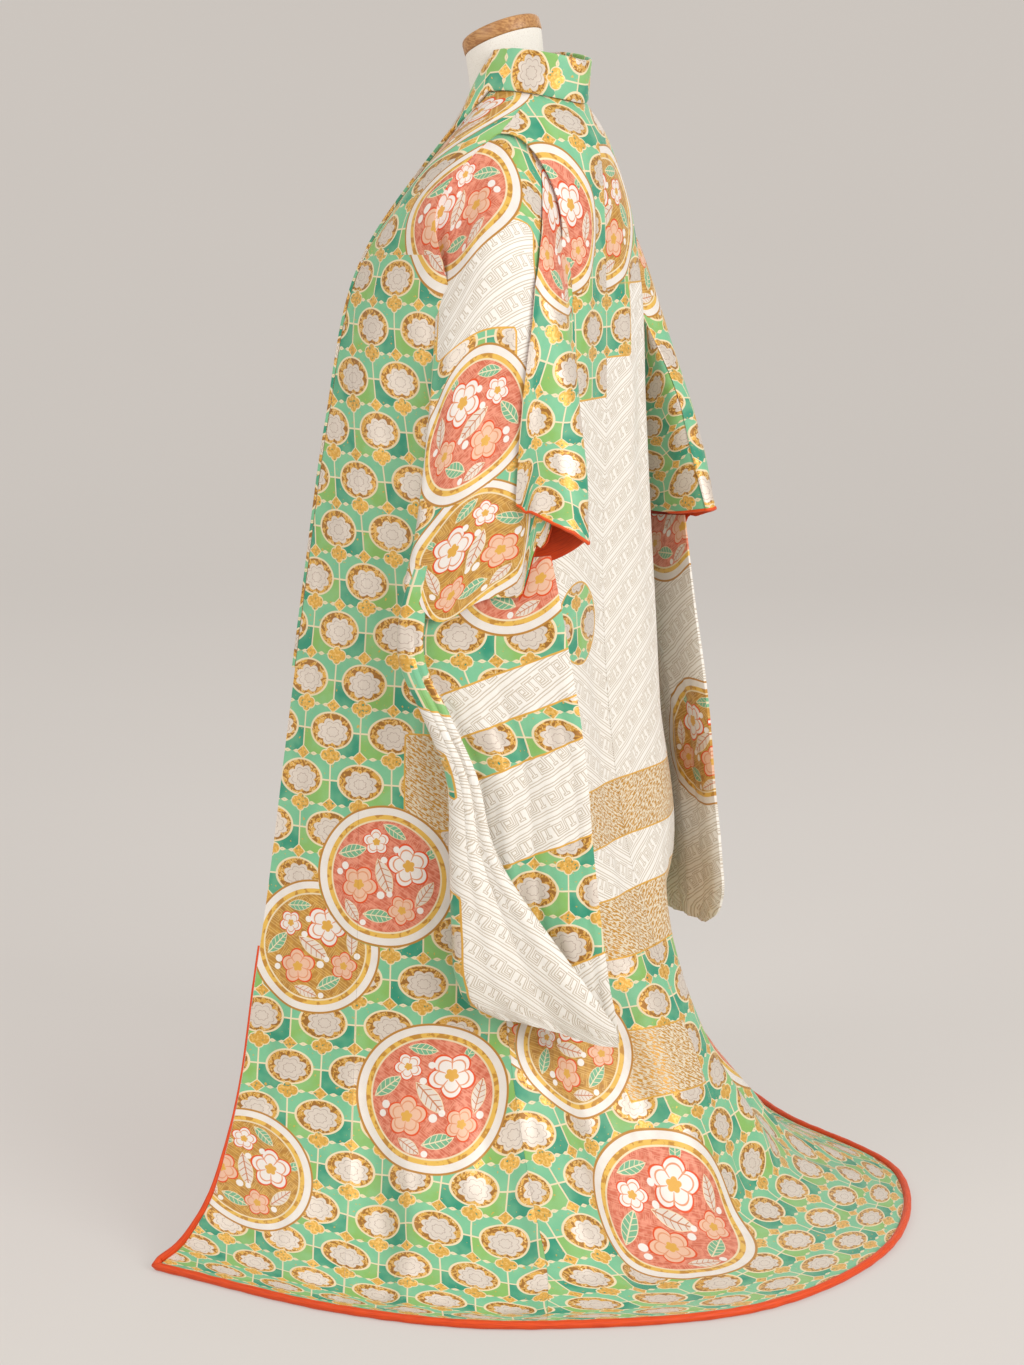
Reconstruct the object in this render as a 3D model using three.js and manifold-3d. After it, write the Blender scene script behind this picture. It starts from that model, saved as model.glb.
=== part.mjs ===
// A furisode: a long-sleeved kimono with a trailing hem, worn open on a limbless dress form.
// Millimetres, +Z up. The front opening faces -Y, the wearer's left is +X, and the stand is on Z = 0.
import * as THREE from "three";
import { mergeVertices } from "three/addons/utils/BufferGeometryUtils.js";
import Module from "manifold-3d";

// ---- Driving dimensions ----
const CLOTH = 2; // brocade and its lining
const SEAM_GAP = 0.3; // between two pieces that are sewn together
const COLLAR_WIDTH = 56;
const COLLAR_THICK = 5; // folded double over its interlining
const COLLAR_END = 750; // how far down the front the collar reaches
const OKUMI_TOP = 200; // where the overlap panel starts, down the front edge
const OKUMI_FULL = 700; // where it has its full width
const OKUMI_POINT = 0.985; // how far round its pointed top lies
const OKUMI_LEAD = 60; // how far above its top the seam starts to turn
const ROLL_RADIUS = 5.5; // padded roll along the hem
const ROLL_THIN = 1.4; // the same roll where it fades out up the front edge
const ROLL_TOP = 1120; // where it ends, down the front edge
const ROLL_GROWS = 200; // how far below its top it starts to thicken
const ROLL_WHOLE = 20; // how far above the hem it has its full radius
const FOLD_ROOM = 90; // above this height a fold can go in by its whole depth
const HEM_RISE = 6.5; // outer face of the hem above the floor, carried by the roll
const SLEEVE_TURN = 30; // degrees from +X to the way that each sleeve's flat side faces
const SLEEVE_GAP = 0.45; // between the sleeve's edge and the panels that it laps over
const RIM_EASE = 1; // how far the sleeve's rim stands off where it laps over the armhole
const BAG_WALL = 1.6; // cloth of the lower sleeve
const BAG_TOP_Z = 936; // upper edge of the lower sleeve, inside the wrist
const LINING = 1.2; // thin silk inside the wrist
const LINING_GAP = 0.9; // between it and the sleeve
const LINING_TOP = 0.8; // where it starts, as a share of the way down the upper sleeve
const LINING_LIP = 0.006; // how far it shows past the wrist's edge, as a share of the same
const SLIVER = 0.02; // edges shorter than this go where one solid is cut by another
const NECK_TILT = 21; // degrees that the neck cap leans to the front
const CAP_THICK = 20; // wooden cap on the neck
const POLE_RADIUS = 14;
const BASE_RADIUS = 170;
const BASE_THICK = 16;
const BASE_ROUND = 5; // radius of the base's upper edge

const COLOURS = {
  brocade: { color: 0x78be96, roughness: 0.5, metalness: 0.1 },
  ivory: { color: 0xebe4d7, roughness: 0.5, metalness: 0.05 },
  orange: { color: 0xe14b0a, roughness: 0.6, metalness: 0 },
  canvas: { color: 0xeeeae4, roughness: 0.9, metalness: 0 },
  wood: { color: 0xc99a63, roughness: 0.55, metalness: 0 },
  steel: { color: 0x9a9a9a, roughness: 0.35, metalness: 0.9 },
};

// The left half of the robe, a row for each level of the cloth. `down` is the way down the cloth from the
// shoulder. Each row goes from the centre of the back round the side to the front edge, as [x, y, z]. Where
// the right half lies differently on the floor, it has places of its own.
const LEVELS = [
  { down: 0, back: [0, 104, 1520], blade: [36, 92, 1525],
    side: [60, 66, 1531], chest: [72, 34, 1535], edge: [74, 8, 1534] },
  { down: 60, back: [0, 132, 1468], blade: [66, 110, 1478],
    side: [126, 52, 1476], chest: [134, -12, 1470], edge: [100, -52, 1462] },
  { down: 125, back: [0, 141, 1405], blade: [92, 128, 1402],
    side: [186, 34, 1404], chest: [166, -62, 1396], edge: [124, -114, 1378] },
  { down: 225, back: [0, 145, 1300], blade: [108, 140, 1300],
    side: [200, 50, 1300], chest: [188, -72, 1300], edge: [146, -153, 1300] },
  { down: 425, back: [0, 147, 1100], blade: [120, 143, 1100],
    side: [212, 62, 1100], chest: [226, -70, 1100], edge: [200, -170, 1100] },
  { down: 635, back: [0, 143, 890], blade: [132, 147, 890],
    side: [226, 76, 890], chest: [258, -70, 890], edge: [241, -181, 890] },
  { down: 835, back: [0, 156, 690], blade: [136, 160, 690],
    side: [240, 92, 690], chest: [290, -65, 690], edge: [288, -184, 690] },
  { down: 1060, back: [0, 197, 470], blade: [128, 188, 470],
    side: [248, 118, 470], chest: [318, -52, 470], edge: [341, -185, 470] },
  { down: 1190, back: [0, 244, 340], blade: [118, 198, 340], side: [254, 136, 340], chest: [336, -45, 345],
    edge: [373, -186, 350], rightSide: [224, 116, 340], rightBlade: [106, 176, 340] },
  { down: 1300, back: [0, 291, 238], blade: [120, 224, 238], side: [264, 155, 238], chest: [354, -40, 240],
    edge: [399, -187, 245], rightSide: [236, 138, 238], rightBlade: [112, 206, 238] },
  { down: 1425, back: [0, 335, 130], blade: [150, 290, 122], side: [312, 208, 118], chest: [398, -18, 132],
    edge: [439, -187, 150], rightSide: [286, 184, 118] },
  { down: 1530, back: [0, 386, 34], blade: [192, 362, 32], side: [364, 262, 44], chest: [452, 10, 60],
    edge: [474, -193, 80], rightSide: [334, 236, 40] },
  { down: 1610, back: [0, 465, 12], blade: [222, 432, 11], side: [401, 284, 15], chest: [490, 32, 24],
    edge: [501, -209, 36], rightSide: [360, 254, 15] },
  { down: 1735, back: [0, 576, HEM_RISE], blade: [243, 511, HEM_RISE], side: [430, 298, HEM_RISE],
    chest: [520, 50, HEM_RISE], edge: [531, -233, HEM_RISE], rightSide: [386, 262, HEM_RISE],
    rightBlade: [256, 492, HEM_RISE] },
];
const SIDE_SEAM = 0.46; // shares of the way round the half robe
const OKUMI_SEAM = 0.745;
const ROUND = [-0.22, 0, 0.22, SIDE_SEAM, OKUMI_SEAM, 1];
const HEM = LEVELS.at(-1).down;

// The armhole: how far it reaches each way from the side seam, as shares of the way round, and its ends down
// the cloth. The sleeve laps over its rim.
const ARMHOLE = { toBack: 0.24, toFront: 0.085, top: 55, foot: 275, lap: 0.028, below: 14 };

// How softly a fold starts below its top, and how far it ends before and after its foot.
const FOLD_ENDS = { start: 260, before: 90, after: 30 };

// The largest folds of each half. `round` is where one lies at its foot, `lean` how far round it drifts for
// each mm of height, `wide` its half width, both as shares of the way round, and `deep` is out (+) or in (-).
const FOLDS = {
  left: [
    { round: 0.3, lean: 0, wide: 0.05, top: 760, foot: 1640, deep: 9 },
    { round: 0.4, lean: 0, wide: 0.045, top: 1180, foot: 1700, deep: -13 },
    { round: 0.49, lean: 0.00006, wide: 0.04, top: 1080, foot: 1690, deep: 12 },
    { round: 0.6, lean: 0.0001, wide: 0.04, top: 1230, foot: 1680, deep: -14 },
    { round: 0.68, lean: 0.0001, wide: 0.035, top: 1150, foot: 1700, deep: 11 },
    { round: 0.8, lean: 0, wide: 0.04, top: 1380, foot: 1700, deep: -8 },
    { round: 0.11, lean: 0, wide: 0.06, top: 960, foot: 1600, deep: -14 },
  ],
  right: [
    { round: 0.26, lean: 0, wide: 0.05, top: 900, foot: 1660, deep: 6 },
    { round: 0.37, lean: 0, wide: 0.045, top: 1120, foot: 1700, deep: -12 },
    { round: 0.46, lean: 0.00005, wide: 0.04, top: 1000, foot: 1690, deep: 10 },
    { round: 0.56, lean: 0.00008, wide: 0.04, top: 1200, foot: 1680, deep: -13 },
    { round: 0.65, lean: 0.0001, wide: 0.04, top: 1120, foot: 1700, deep: 12 },
    { round: 0.82, lean: 0, wide: 0.045, top: 1340, foot: 1690, deep: -9 },
    { round: 0.11, lean: 0, wide: 0.06, top: 960, foot: 1600, deep: -20 },
  ],
};

// How the collar leans from its seam, a row for each place along it from the low end to the centre back.
// `run` is the share of the collar's half length, and `lean` is the way across it, towards its free edge.
const COLLAR_LEAN = [
  { run: 0, lean: [-0.93, -0.37, 0] },
  { run: 0.5, lean: [-0.93, -0.3, 0.1] },
  { run: 0.74, lean: [-0.8, 0.1, 0.55] },
  { run: 0.86, lean: [-0.26, 0, 0.95] },
  { run: 1, lean: [0, 0.12, 0.99] },
];

// The upper sleeve, a tube that hangs from the armhole to the wrist, a row for each ring. `front` and `back`
// are its two edges across the sleeve. `near`, `far`, `frontOut` and `backOut` are the distances from the
// body's axis of its outer face, inner face and two edges, and `nearZ` to `backZ` are their heights. `pleat`
// is how deep the fold beside the wrist's ridge is, and `mouth` how much the wrist opening rises there.
const SLEEVE_TOP = [
  { run: 0.24, front: -98, back: 76, near: 208, far: 211, frontOut: 170, backOut: 158,
    nearZ: 1352, farZ: 1204, frontZ: 1290, backZ: 1290, pleat: 2, mouth: 0, dip: 0 },
  { run: 0.4, front: -99, back: 80, near: 238, far: 216, frontOut: 205, backOut: 194,
    nearZ: 1262, farZ: 1165, frontZ: 1212, backZ: 1225, pleat: 8, mouth: 0, dip: 0 },
  { run: 0.65, front: -110, back: 88, near: 273, far: 231, frontOut: 248, backOut: 246,
    nearZ: 1120, farZ: 1080, frontZ: 1085, backZ: 1120, pleat: 16, mouth: 0, dip: 0 },
  { run: 0.85, front: -127, back: 94, near: 292, far: 248, frontOut: 268, backOut: 268,
    nearZ: 1005, farZ: 990, frontZ: 970, backZ: 1036, pleat: 19, mouth: 40, dip: 12 },
];
const SLEEVE_RINGS = {
  left: [
    ...SLEEVE_TOP,
    { run: 1, front: -139, back: 97, near: 302, far: 257, frontOut: 278, backOut: 279,
      nearZ: 901, farZ: 930, frontZ: 912, backZ: 970, pleat: 15, mouth: 84, dip: 42 },
  ],
  right: [
    ...SLEEVE_TOP,
    { run: 1, front: -137, back: 108, near: 300, far: 255, frontOut: 278, backOut: 283,
      nearZ: 960, farZ: 950, frontZ: 914, backZ: 962, pleat: 8, mouth: 30, dip: 20 },
  ],
};
// Places round the tube in degrees, from its front edge over the outer face.
const PLEAT = { valley: 101, ridge: 136, wide: 24 };
const MOUTH = { start: 100, open: 112, back: 180, inner: 250 }; // `inner` is where its lining ends
const DIP = { at: 56, wide: 24 };

// The shares of the way along the bag that its near arm and its bend take, and how far across it the drop of
// its back end is whole.
const BAG_PARTS = { near: 0.36, bend: 0.16, back: 145 };

// The lower sleeve, a flat bag folded on itself like a hairpin, a row for each level. `fold` is its front edge,
// `tip` the end of the near arm and `back` the end of the far arm across the sleeve; `out` is the far arm's
// distance from the body's axis, `apart` the way between the arms, and `drop` lowers the back end.
const BAG_TOP = [
  { z: BAG_TOP_Z, fold: -122, tip: -98, back: 50, out: 278, apart: 9, thick: 6, drop: -16 },
  { z: 880, fold: -139, tip: -110, back: 62, out: 279, apart: 12, thick: 8, drop: -10 },
  { z: 815, fold: -142, tip: -112, back: 75, out: 282, apart: 15, thick: 10, drop: 0 },
  { z: 740, fold: -110, tip: -78, back: 88, out: 287, apart: 18, thick: 12, drop: 0 },
  { z: 670, fold: -82, tip: -47, back: 97, out: 292, apart: 24, thick: 12, drop: 0 },
  { z: 560, fold: -76, tip: -17, back: 107, out: 298, apart: 31, thick: 12, drop: 4 },
];
const BAG_LEVELS = {
  left: [
    ...BAG_TOP,
    { z: 455, fold: -72, tip: 56, back: 120, out: 304, apart: 33, thick: 13, drop: 12 },
    { z: 392, fold: -66, tip: 112, back: 131, out: 309, apart: 30, thick: 12, drop: 26 },
    { z: 358, fold: -48, tip: 138, back: 140, out: 313, apart: 22, thick: 8, drop: 34 },
    { z: 348, fold: -30, tip: 139, back: 141, out: 314, apart: 20, thick: 5, drop: 36 },
  ],
  right: [
    ...BAG_TOP,
    { z: 455, fold: -72, tip: 22, back: 118, out: 304, apart: 30, thick: 13, drop: 4 },
    { z: 392, fold: -68, tip: 44, back: 118, out: 307, apart: 28, thick: 12, drop: 2 },
    { z: 358, fold: -54, tip: 46, back: 98, out: 309, apart: 24, thick: 8, drop: 0 },
    { z: 342, fold: -34, tip: 34, back: 72, out: 310, apart: 20, thick: 5, drop: 0 },
  ],
};
const SLEEVE_SHIFT = { left: 0, right: -36 }; // how far each sleeve hangs towards the back

// The dress form, a row for each ring: its centre is `y` behind the axis.
const TORSO = [
  { z: 780, y: 4, wide: 142, deep: 104 },
  { z: 800, y: 4, wide: 156, deep: 114 },
  { z: 880, y: 3, wide: 163, deep: 118 },
  { z: 980, y: 2, wide: 138, deep: 100 },
  { z: 1080, y: 2, wide: 118, deep: 90 },
  { z: 1170, y: 2, wide: 132, deep: 100 },
  { z: 1250, y: 0, wide: 150, deep: 112 },
  { z: 1330, y: 2, wide: 164, deep: 106 },
  { z: 1385, y: 6, wide: 158, deep: 88 },
  { z: 1420, y: 8, wide: 144, deep: 74 },
  { z: 1448, y: 8, wide: 136, deep: 66 },
  { z: 1472, y: 6, wide: 118, deep: 60 },
  { z: 1492, y: 3, wide: 96, deep: 57 },
];
const NECK = [
  { z: 1492.4, y: 2, radius: 57, tilt: 0 },
  { z: 1525, y: -2, radius: 53, tilt: 0.3 },
  { z: 1565, y: -8, radius: 51, tilt: 0.75 },
  { z: 1600, y: -13, radius: 51, tilt: 1 },
];

// ---- Small tools ----
const vec = (x, y, z) => new THREE.Vector3(x, y, z);
const mirrored = (p) => vec(-p.x, p.y, p.z);
const mix = THREE.MathUtils.lerp;
const smooth = (x, low, high) => THREE.MathUtils.smoothstep(x, low, high);
const squash = (x, power) => Math.sign(x) * Math.abs(x) ** power; // rounds a circle's sides out or in
const steps = (count) => Array.from({ length: count + 1 }, (_, i) => i / count);

const wasm = await Module();
wasm.setup();

// A smooth curve through points at uneven knots. It runs on straight past its ends.
function spline(knots, points, at) {
  const last = knots.length - 1;
  let i = 0;
  while (i < last - 1 && at > knots[i + 1]) i++;
  const slope = (k) => points[k + 1].clone().sub(points[k]).divideScalar(knots[k + 1] - knots[k]);
  const tangent = (k) => {
    if (k === 0) return slope(0);
    if (k === last) return slope(last - 1);
    const before = knots[k] - knots[k - 1];
    const after = knots[k + 1] - knots[k];
    return slope(k - 1).multiplyScalar(after).addScaledVector(slope(k), before).divideScalar(before + after);
  };
  const span = knots[i + 1] - knots[i];
  const t = (at - knots[i]) / span;
  if (t < 0 || t > 1) {
    const end = t < 0 ? i : i + 1;
    return points[end].clone().addScaledVector(tangent(end), at - knots[end]);
  }
  return points[i].clone().multiplyScalar((1 + 2 * t) * (1 - t) ** 2)
    .addScaledVector(tangent(i), span * t * (1 - t) ** 2)
    .addScaledVector(points[i + 1], t * t * (3 - 2 * t))
    .addScaledVector(tangent(i + 1), span * t * t * (t - 1));
}

// One number from a table's column, smoothly between its rows.
function column(table, key, name, at) {
  return spline(table.map((row) => row[key]), table.map((row) => vec(row[name], 0, 0)), at).x;
}

// The way out of a surface point(s, t), for s to the right and t down as seen from outside.
function outward(point, s, t) {
  const h = 0.002;
  const across = point(s + h, t).sub(point(s - h, t));
  const down = point(s, t + h).sub(point(s, t - h));
  return down.cross(across).normalize();
}

// A face's corners turned to look the other way, with the same diagonal.
const turned = ([a, b, c, d]) => [a, d, c, b];

// A closed solid from a grid's outer and inner faces. A closed grid joins its last column to its first.
function gridSolid(outer, inner, closed) {
  const rows = outer.length;
  const columns = outer[0].length;
  const points = [...outer.flat(), ...inner.flat()];
  const shift = rows * columns;
  const at = (r, c) => r * columns + (c % columns);
  const index = [];
  const quad = (a, b, c, d) => index.push(a, b, c, a, c, d);
  const cells = closed ? columns : columns - 1;
  for (let r = 0; r < rows - 1; r++) {
    for (let c = 0; c < cells; c++) {
      const corners = [at(r, c), at(r + 1, c), at(r + 1, c + 1), at(r, c + 1)];
      quad(...corners);
      quad(...turned(corners.map((k) => k + shift)));
    }
    if (!closed) {
      quad(at(r, 0), at(r, 0) + shift, at(r + 1, 0) + shift, at(r + 1, 0));
      const end = columns - 1;
      quad(at(r + 1, end), at(r + 1, end) + shift, at(r, end) + shift, at(r, end));
    }
  }
  for (let c = 0; c < cells; c++) {
    quad(at(0, c + 1), at(0, c + 1) + shift, at(0, c) + shift, at(0, c));
    const foot = rows - 1;
    quad(at(foot, c), at(foot, c) + shift, at(foot, c + 1) + shift, at(foot, c + 1));
  }
  return geometryOf(points, index);
}

function geometryOf(points, index) {
  const geometry = new THREE.BufferGeometry().setFromPoints(points);
  geometry.setIndex(index);
  geometry.computeVertexNormals();
  return geometry;
}

// A wall of even thickness behind the outer face point(s, t).
function wall(point, columns, rows, thick, closed = false) {
  const across = closed ? steps(columns).slice(0, -1) : steps(columns);
  const outer = rows.map((t) => across.map((s) => point(s, t)));
  const inner = rows.map((t) => across.map((s) => point(s, t).addScaledVector(outward(point, s, t), -thick)));
  return gridSolid(outer, inner, closed);
}

// The same wall on the other side of the body.
const otherSide = (point) => (s, t) => mirrored(point(1 - s, t));
const forSide = (side, point) => (side === "left" ? point : otherSide(point));

function solidOf(geometry) {
  const bare = geometry.clone();
  bare.deleteAttribute("normal");
  const merged = mergeVertices(bare, 1e-4);
  const made = new wasm.Mesh({
    numProp: 3,
    vertProperties: merged.attributes.position.array,
    triVerts: new Uint32Array(merged.index.array),
  });
  return new wasm.Manifold(made);
}

function meshOf(solid) {
  const made = solid.getMesh();
  const geometry = new THREE.BufferGeometry();
  geometry.setAttribute("position", new THREE.BufferAttribute(made.vertProperties, 3));
  geometry.setIndex(new THREE.BufferAttribute(made.triVerts, 1));
  geometry.computeVertexNormals();
  return geometry;
}

// Closed rings stacked into a solid with flat ends, from the bottom up.
function stack(rings) {
  const sides = rings[0].length;
  const points = rings.flat();
  const index = [];
  for (let r = 0; r < rings.length - 1; r++) {
    for (let c = 0; c < sides; c++) {
      const [a, b] = [r * sides + c, r * sides + ((c + 1) % sides)];
      index.push(a, b, b + sides, a, b + sides, a + sides);
    }
  }
  const top = (rings.length - 1) * sides;
  for (let c = 1; c < sides - 1; c++) index.push(0, c + 1, c, top, top + c, top + c + 1);
  return geometryOf(points, index);
}

// ---- The robe's body ----
// How far out the largest folds lift the cloth there.
function foldDepth(side, round, down) {
  return FOLDS[side].reduce((sum, fold) => {
    const middle = fold.round + fold.lean * (HEM - down);
    const reach = Math.exp(-(((round - middle) / fold.wide) ** 2));
    const long = smooth(down, fold.top, fold.top + FOLD_ENDS.start)
      * (1 - smooth(down, fold.foot - FOLD_ENDS.before, fold.foot + FOLD_ENDS.after));
    return sum + fold.deep * reach * long;
  }, 0);
}

// The robe's left outer face without folds, from the four rows of places nearest that level.
function plainBody(side, round, down) {
  const at = LEVELS.findIndex((level) => level.down >= down);
  const middle = at < 0 ? LEVELS.length - 1 : at;
  const first = THREE.MathUtils.clamp(middle - 2, 0, LEVELS.length - 4);
  const near = LEVELS.slice(first, first + 4);
  const sections = near.map((level) => {
    const bladeAt = side === "right" && level.rightBlade ? level.rightBlade : level.blade;
    const sideAt = side === "right" && level.rightSide ? level.rightSide : level.side;
    const [back, blade, flank, chest, edge] = [level.back, bladeAt, sideAt, level.chest, level.edge]
      .map((place) => vec(...place));
    return spline(ROUND, [mirrored(blade), back, blade, flank, chest, edge], round);
  });
  return spline(near.map((level) => level.down), sections, down);
}

// The robe's outer face on one half, drawn on the left: round from 0 at the back to 1 at the edge.
function robe(side, round, down) {
  const face = (s, t) => plainBody(side, s, t * HEM);
  const point = plainBody(side, round, down);
  const depth = foldDepth(side, Math.abs(round), down);
  const room = depth < 0 ? smooth(point.z, HEM_RISE, FOLD_ROOM) : 1;
  point.addScaledVector(outward(face, round, down / HEM), depth * room);
  point.z = Math.max(point.z, HEM_RISE);
  return point;
}

// A share of the way round, moved by some mm.
function moved(side, round, down, by) {
  const h = 0.01;
  const length = robe(side, round + h, down).distanceTo(robe(side, round - h, down)) / (2 * h);
  return round + by / length;
}

// How wide the armhole is at that level, from 0 at its ends to 1.
const armholeShape = (down) => {
  const share = (down - ARMHOLE.top) / (ARMHOLE.foot - ARMHOLE.top);
  return Math.sqrt(Math.max(0, 1 - (2 * share - 1) ** 2));
};
// How far round the seam of the overlap panel lies.
const okumiSeam = (down) => mix(OKUMI_POINT, OKUMI_SEAM, smooth(down, OKUMI_TOP - OKUMI_LEAD, OKUMI_FULL));

const BODY_ROWS = [0, 30, 55, 66, 90, 125, 165, 205, 245, 266, 275, 320, 400, 500, 620, 750, 870, 980,
  1080, 1160, 1230, 1300, 1365, 1425, 1480, 1530, 1570, 1610, 1670, HEM];
// The front has two rows more, because its edge steps back there to the overlap panel's seam.
const FRONT_ROWS = [...BODY_ROWS, OKUMI_TOP - 8, OKUMI_TOP].sort((a, b) => a - b);
const shareOf = (down) => down / HEM;

const COLUMNS = { back: 9, front: 7, okumi: 4 };

// A panel between two seams, each given as its place round at a height.
function panel(side, from, to, columns, downs, grow) {
  const point = (s, t) => {
    const down = t * HEM;
    const start = moved(side, from(down), down, SEAM_GAP / 2 - grow);
    const end = moved(side, to(down), down, grow - SEAM_GAP / 2);
    return robe(side, mix(start, end, s), down);
  };
  // Seen from outside, the left half runs from the back on the right to the edge on the left.
  const seen = forSide(side, (s, t) => point(1 - s, t));
  const grown = (s, t) => seen(s, t).addScaledVector(outward(seen, s, t), grow);
  return wall(grow ? grown : seen, columns, downs.map(shareOf), CLOTH + 2 * grow);
}

const backPanel = (side, grow = 0) => panel(side, () => 0, (d) => SIDE_SEAM - ARMHOLE.toBack * armholeShape(d),
  COLUMNS.back, BODY_ROWS, grow);

const frontPanel = (side, grow = 0) => panel(side, (d) => SIDE_SEAM + ARMHOLE.toFront * armholeShape(d),
  (d) => (d < OKUMI_TOP ? 1 : okumiSeam(d)), COLUMNS.front, FRONT_ROWS, grow);

const okumiPanel = (side, grow = 0) => panel(side, okumiSeam, () => 1, COLUMNS.okumi,
  [OKUMI_TOP, ...BODY_ROWS.filter((down) => down > OKUMI_TOP)], grow);

// ---- Collar ----
// The seam that the left half of the collar stands on, from its low end at the front up to the neck and round
// to the centre of the back, at the same places as the panels' own points.
function collarSeam() {
  const up = FRONT_ROWS.filter((down) => down <= COLLAR_END).reverse();
  const across = [
    ...steps(COLUMNS.front).slice(1).map((s) => mix(1, SIDE_SEAM, s)),
    ...steps(COLUMNS.back).slice(1).map((s) => mix(SIDE_SEAM, 0, s)),
  ];
  return [...up.map((down) => robe("left", 1, down)), ...across.map((round) => robe("left", round, 0))];
}

// The band stands on its seam and leans with the neck, from one front edge round the nape to the other.
function collar() {
  const seam = collarSeam();
  const lengths = seam.map((p, i) => (i ? p.distanceTo(seam[i - 1]) : 0));
  const runs = lengths.map((_, i) => lengths.slice(0, i + 1).reduce((a, b) => a + b, 0));
  const half = runs.at(-1);
  const places = COLLAR_LEAN.map((row) => row.run);
  const leans = COLLAR_LEAN.map((row) => vec(...row.lean));
  const face = (run, across) => {
    const leftRun = Math.min(run, 2 * half - run);
    const lean = spline(places, leans, leftRun / half).normalize();
    const point = spline(runs, seam, leftRun).addScaledVector(lean, SEAM_GAP + across * COLLAR_WIDTH);
    return run > half ? mirrored(point) : point;
  };
  const all = [...runs, ...runs.slice(0, -1).reverse().map((run) => 2 * half - run)];
  const normal = (run, t) => {
    const along = face(run + 3, t).sub(face(run - 3, t));
    return along.cross(face(run, 1).sub(face(run, 0))).normalize();
  };
  const lifted = (run, t, out) => face(run, t).addScaledVector(normal(run, t), out);
  const layer = (out) => [1, 0.5, 0].map((t) => all.map((run) => lifted(run, t, out)));
  return gridSolid(layer(COLLAR_THICK), layer(0), false);
}

// ---- Hem roll ----
// A round tube along a row of points, each with its own radius. Its first end is square to `start`.
function tube(path, sides, start) {
  let up = vec(0, 0, 1);
  const rings = path.map(({ point, radius }, i) => {
    const before = path[Math.max(i - 1, 0)].point;
    const after = path[Math.min(i + 1, path.length - 1)].point;
    const along = i === 0 ? start : after.clone().sub(before).normalize();
    const right = along.clone().cross(up).normalize();
    up = right.clone().cross(along).normalize();
    return steps(sides).slice(0, -1).map((s) => {
      const turn = s * 2 * Math.PI + Math.PI / sides;
      const arm = right.clone().multiplyScalar(Math.cos(turn)).addScaledVector(up, Math.sin(turn));
      return point.clone().addScaledVector(arm, radius / Math.cos(Math.PI / sides));
    }).reverse();
  });
  return stack(rings);
}

// The roll lies against the hem and turns up the front edge, where it grows thin.
function hemRoll(side) {
  const hemRounds = [
    ...steps(COLUMNS.back).map((s) => mix(0, SIDE_SEAM, s)),
    ...steps(COLUMNS.front).slice(1).map((s) => mix(SIDE_SEAM, OKUMI_SEAM, s)),
    ...steps(COLUMNS.okumi).slice(1).map((s) => mix(OKUMI_SEAM, 1, s)),
  ];
  const hem = hemRounds.map((round) => {
    const here = robe(side, round, HEM);
    const along = robe(side, round + 0.012, HEM).sub(robe(side, round - 0.012, HEM));
    const away = vec(-along.y, along.x, 0).normalize();
    const point = here.addScaledVector(away, ROLL_RADIUS + SEAM_GAP).setZ(ROLL_RADIUS);
    if (round === 0) point.setX(SEAM_GAP / 2);
    if (round === 1) point.addScaledVector(along.normalize(), ROLL_RADIUS + SEAM_GAP);
    return { point, radius: ROLL_RADIUS };
  });
  const edge = BODY_ROWS.filter((down) => down >= ROLL_TOP && down < HEM).reverse().map((down) => {
    const here = robe(side, 1, down);
    const radius = mix(ROLL_THIN, ROLL_RADIUS, smooth(down, ROLL_TOP + ROLL_GROWS, HEM - ROLL_WHOLE));
    const along = robe(side, 1, down + 12).sub(robe(side, 1, down - 12)).normalize();
    const away = here.clone().sub(robe(side, 0.99, down)).projectOnPlane(along).normalize();
    return { point: here.addScaledVector(away, radius + SEAM_GAP), radius };
  });
  const roll = tube([...hem, ...edge], 8, vec(1, 0, 0));
  return side === "left" ? roll : flipped(roll);
}

// ---- Sleeves ----
const TURN = THREE.MathUtils.degToRad(SLEEVE_TURN);
const ACROSS = vec(-Math.sin(TURN), Math.cos(TURN), 0); // along the flat sleeve, from its front to its back
const OUT = vec(Math.cos(TURN), Math.sin(TURN), 0); // square to it, away from the body
const placed = (across, out, z) => vec(0, 0, z).addScaledVector(ACROSS, across).addScaledVector(OUT, out);

// The rim of the sleeve where it is sewn over the armhole. The turn starts at the front edge and goes over the
// outer face to the back edge, and home along the inner face.
function armholeRim(side, turn, lift) {
  const angle = turn * 2 * Math.PI;
  const middle = (ARMHOLE.top + ARMHOLE.foot) / 2;
  const half = (ARMHOLE.foot - ARMHOLE.top) / 2 + ARMHOLE.below;
  const down = middle - half * Math.sin(angle);
  const reach = Math.cos(angle) > 0 ? ARMHOLE.toFront : ARMHOLE.toBack;
  const round = SIDE_SEAM + (reach + ARMHOLE.lap) * Math.cos(angle);
  const face = (s, t) => robe(side, s, t * HEM);
  return robe(side, round, down).addScaledVector(outward(face, round, down / HEM), lift);
}

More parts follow.
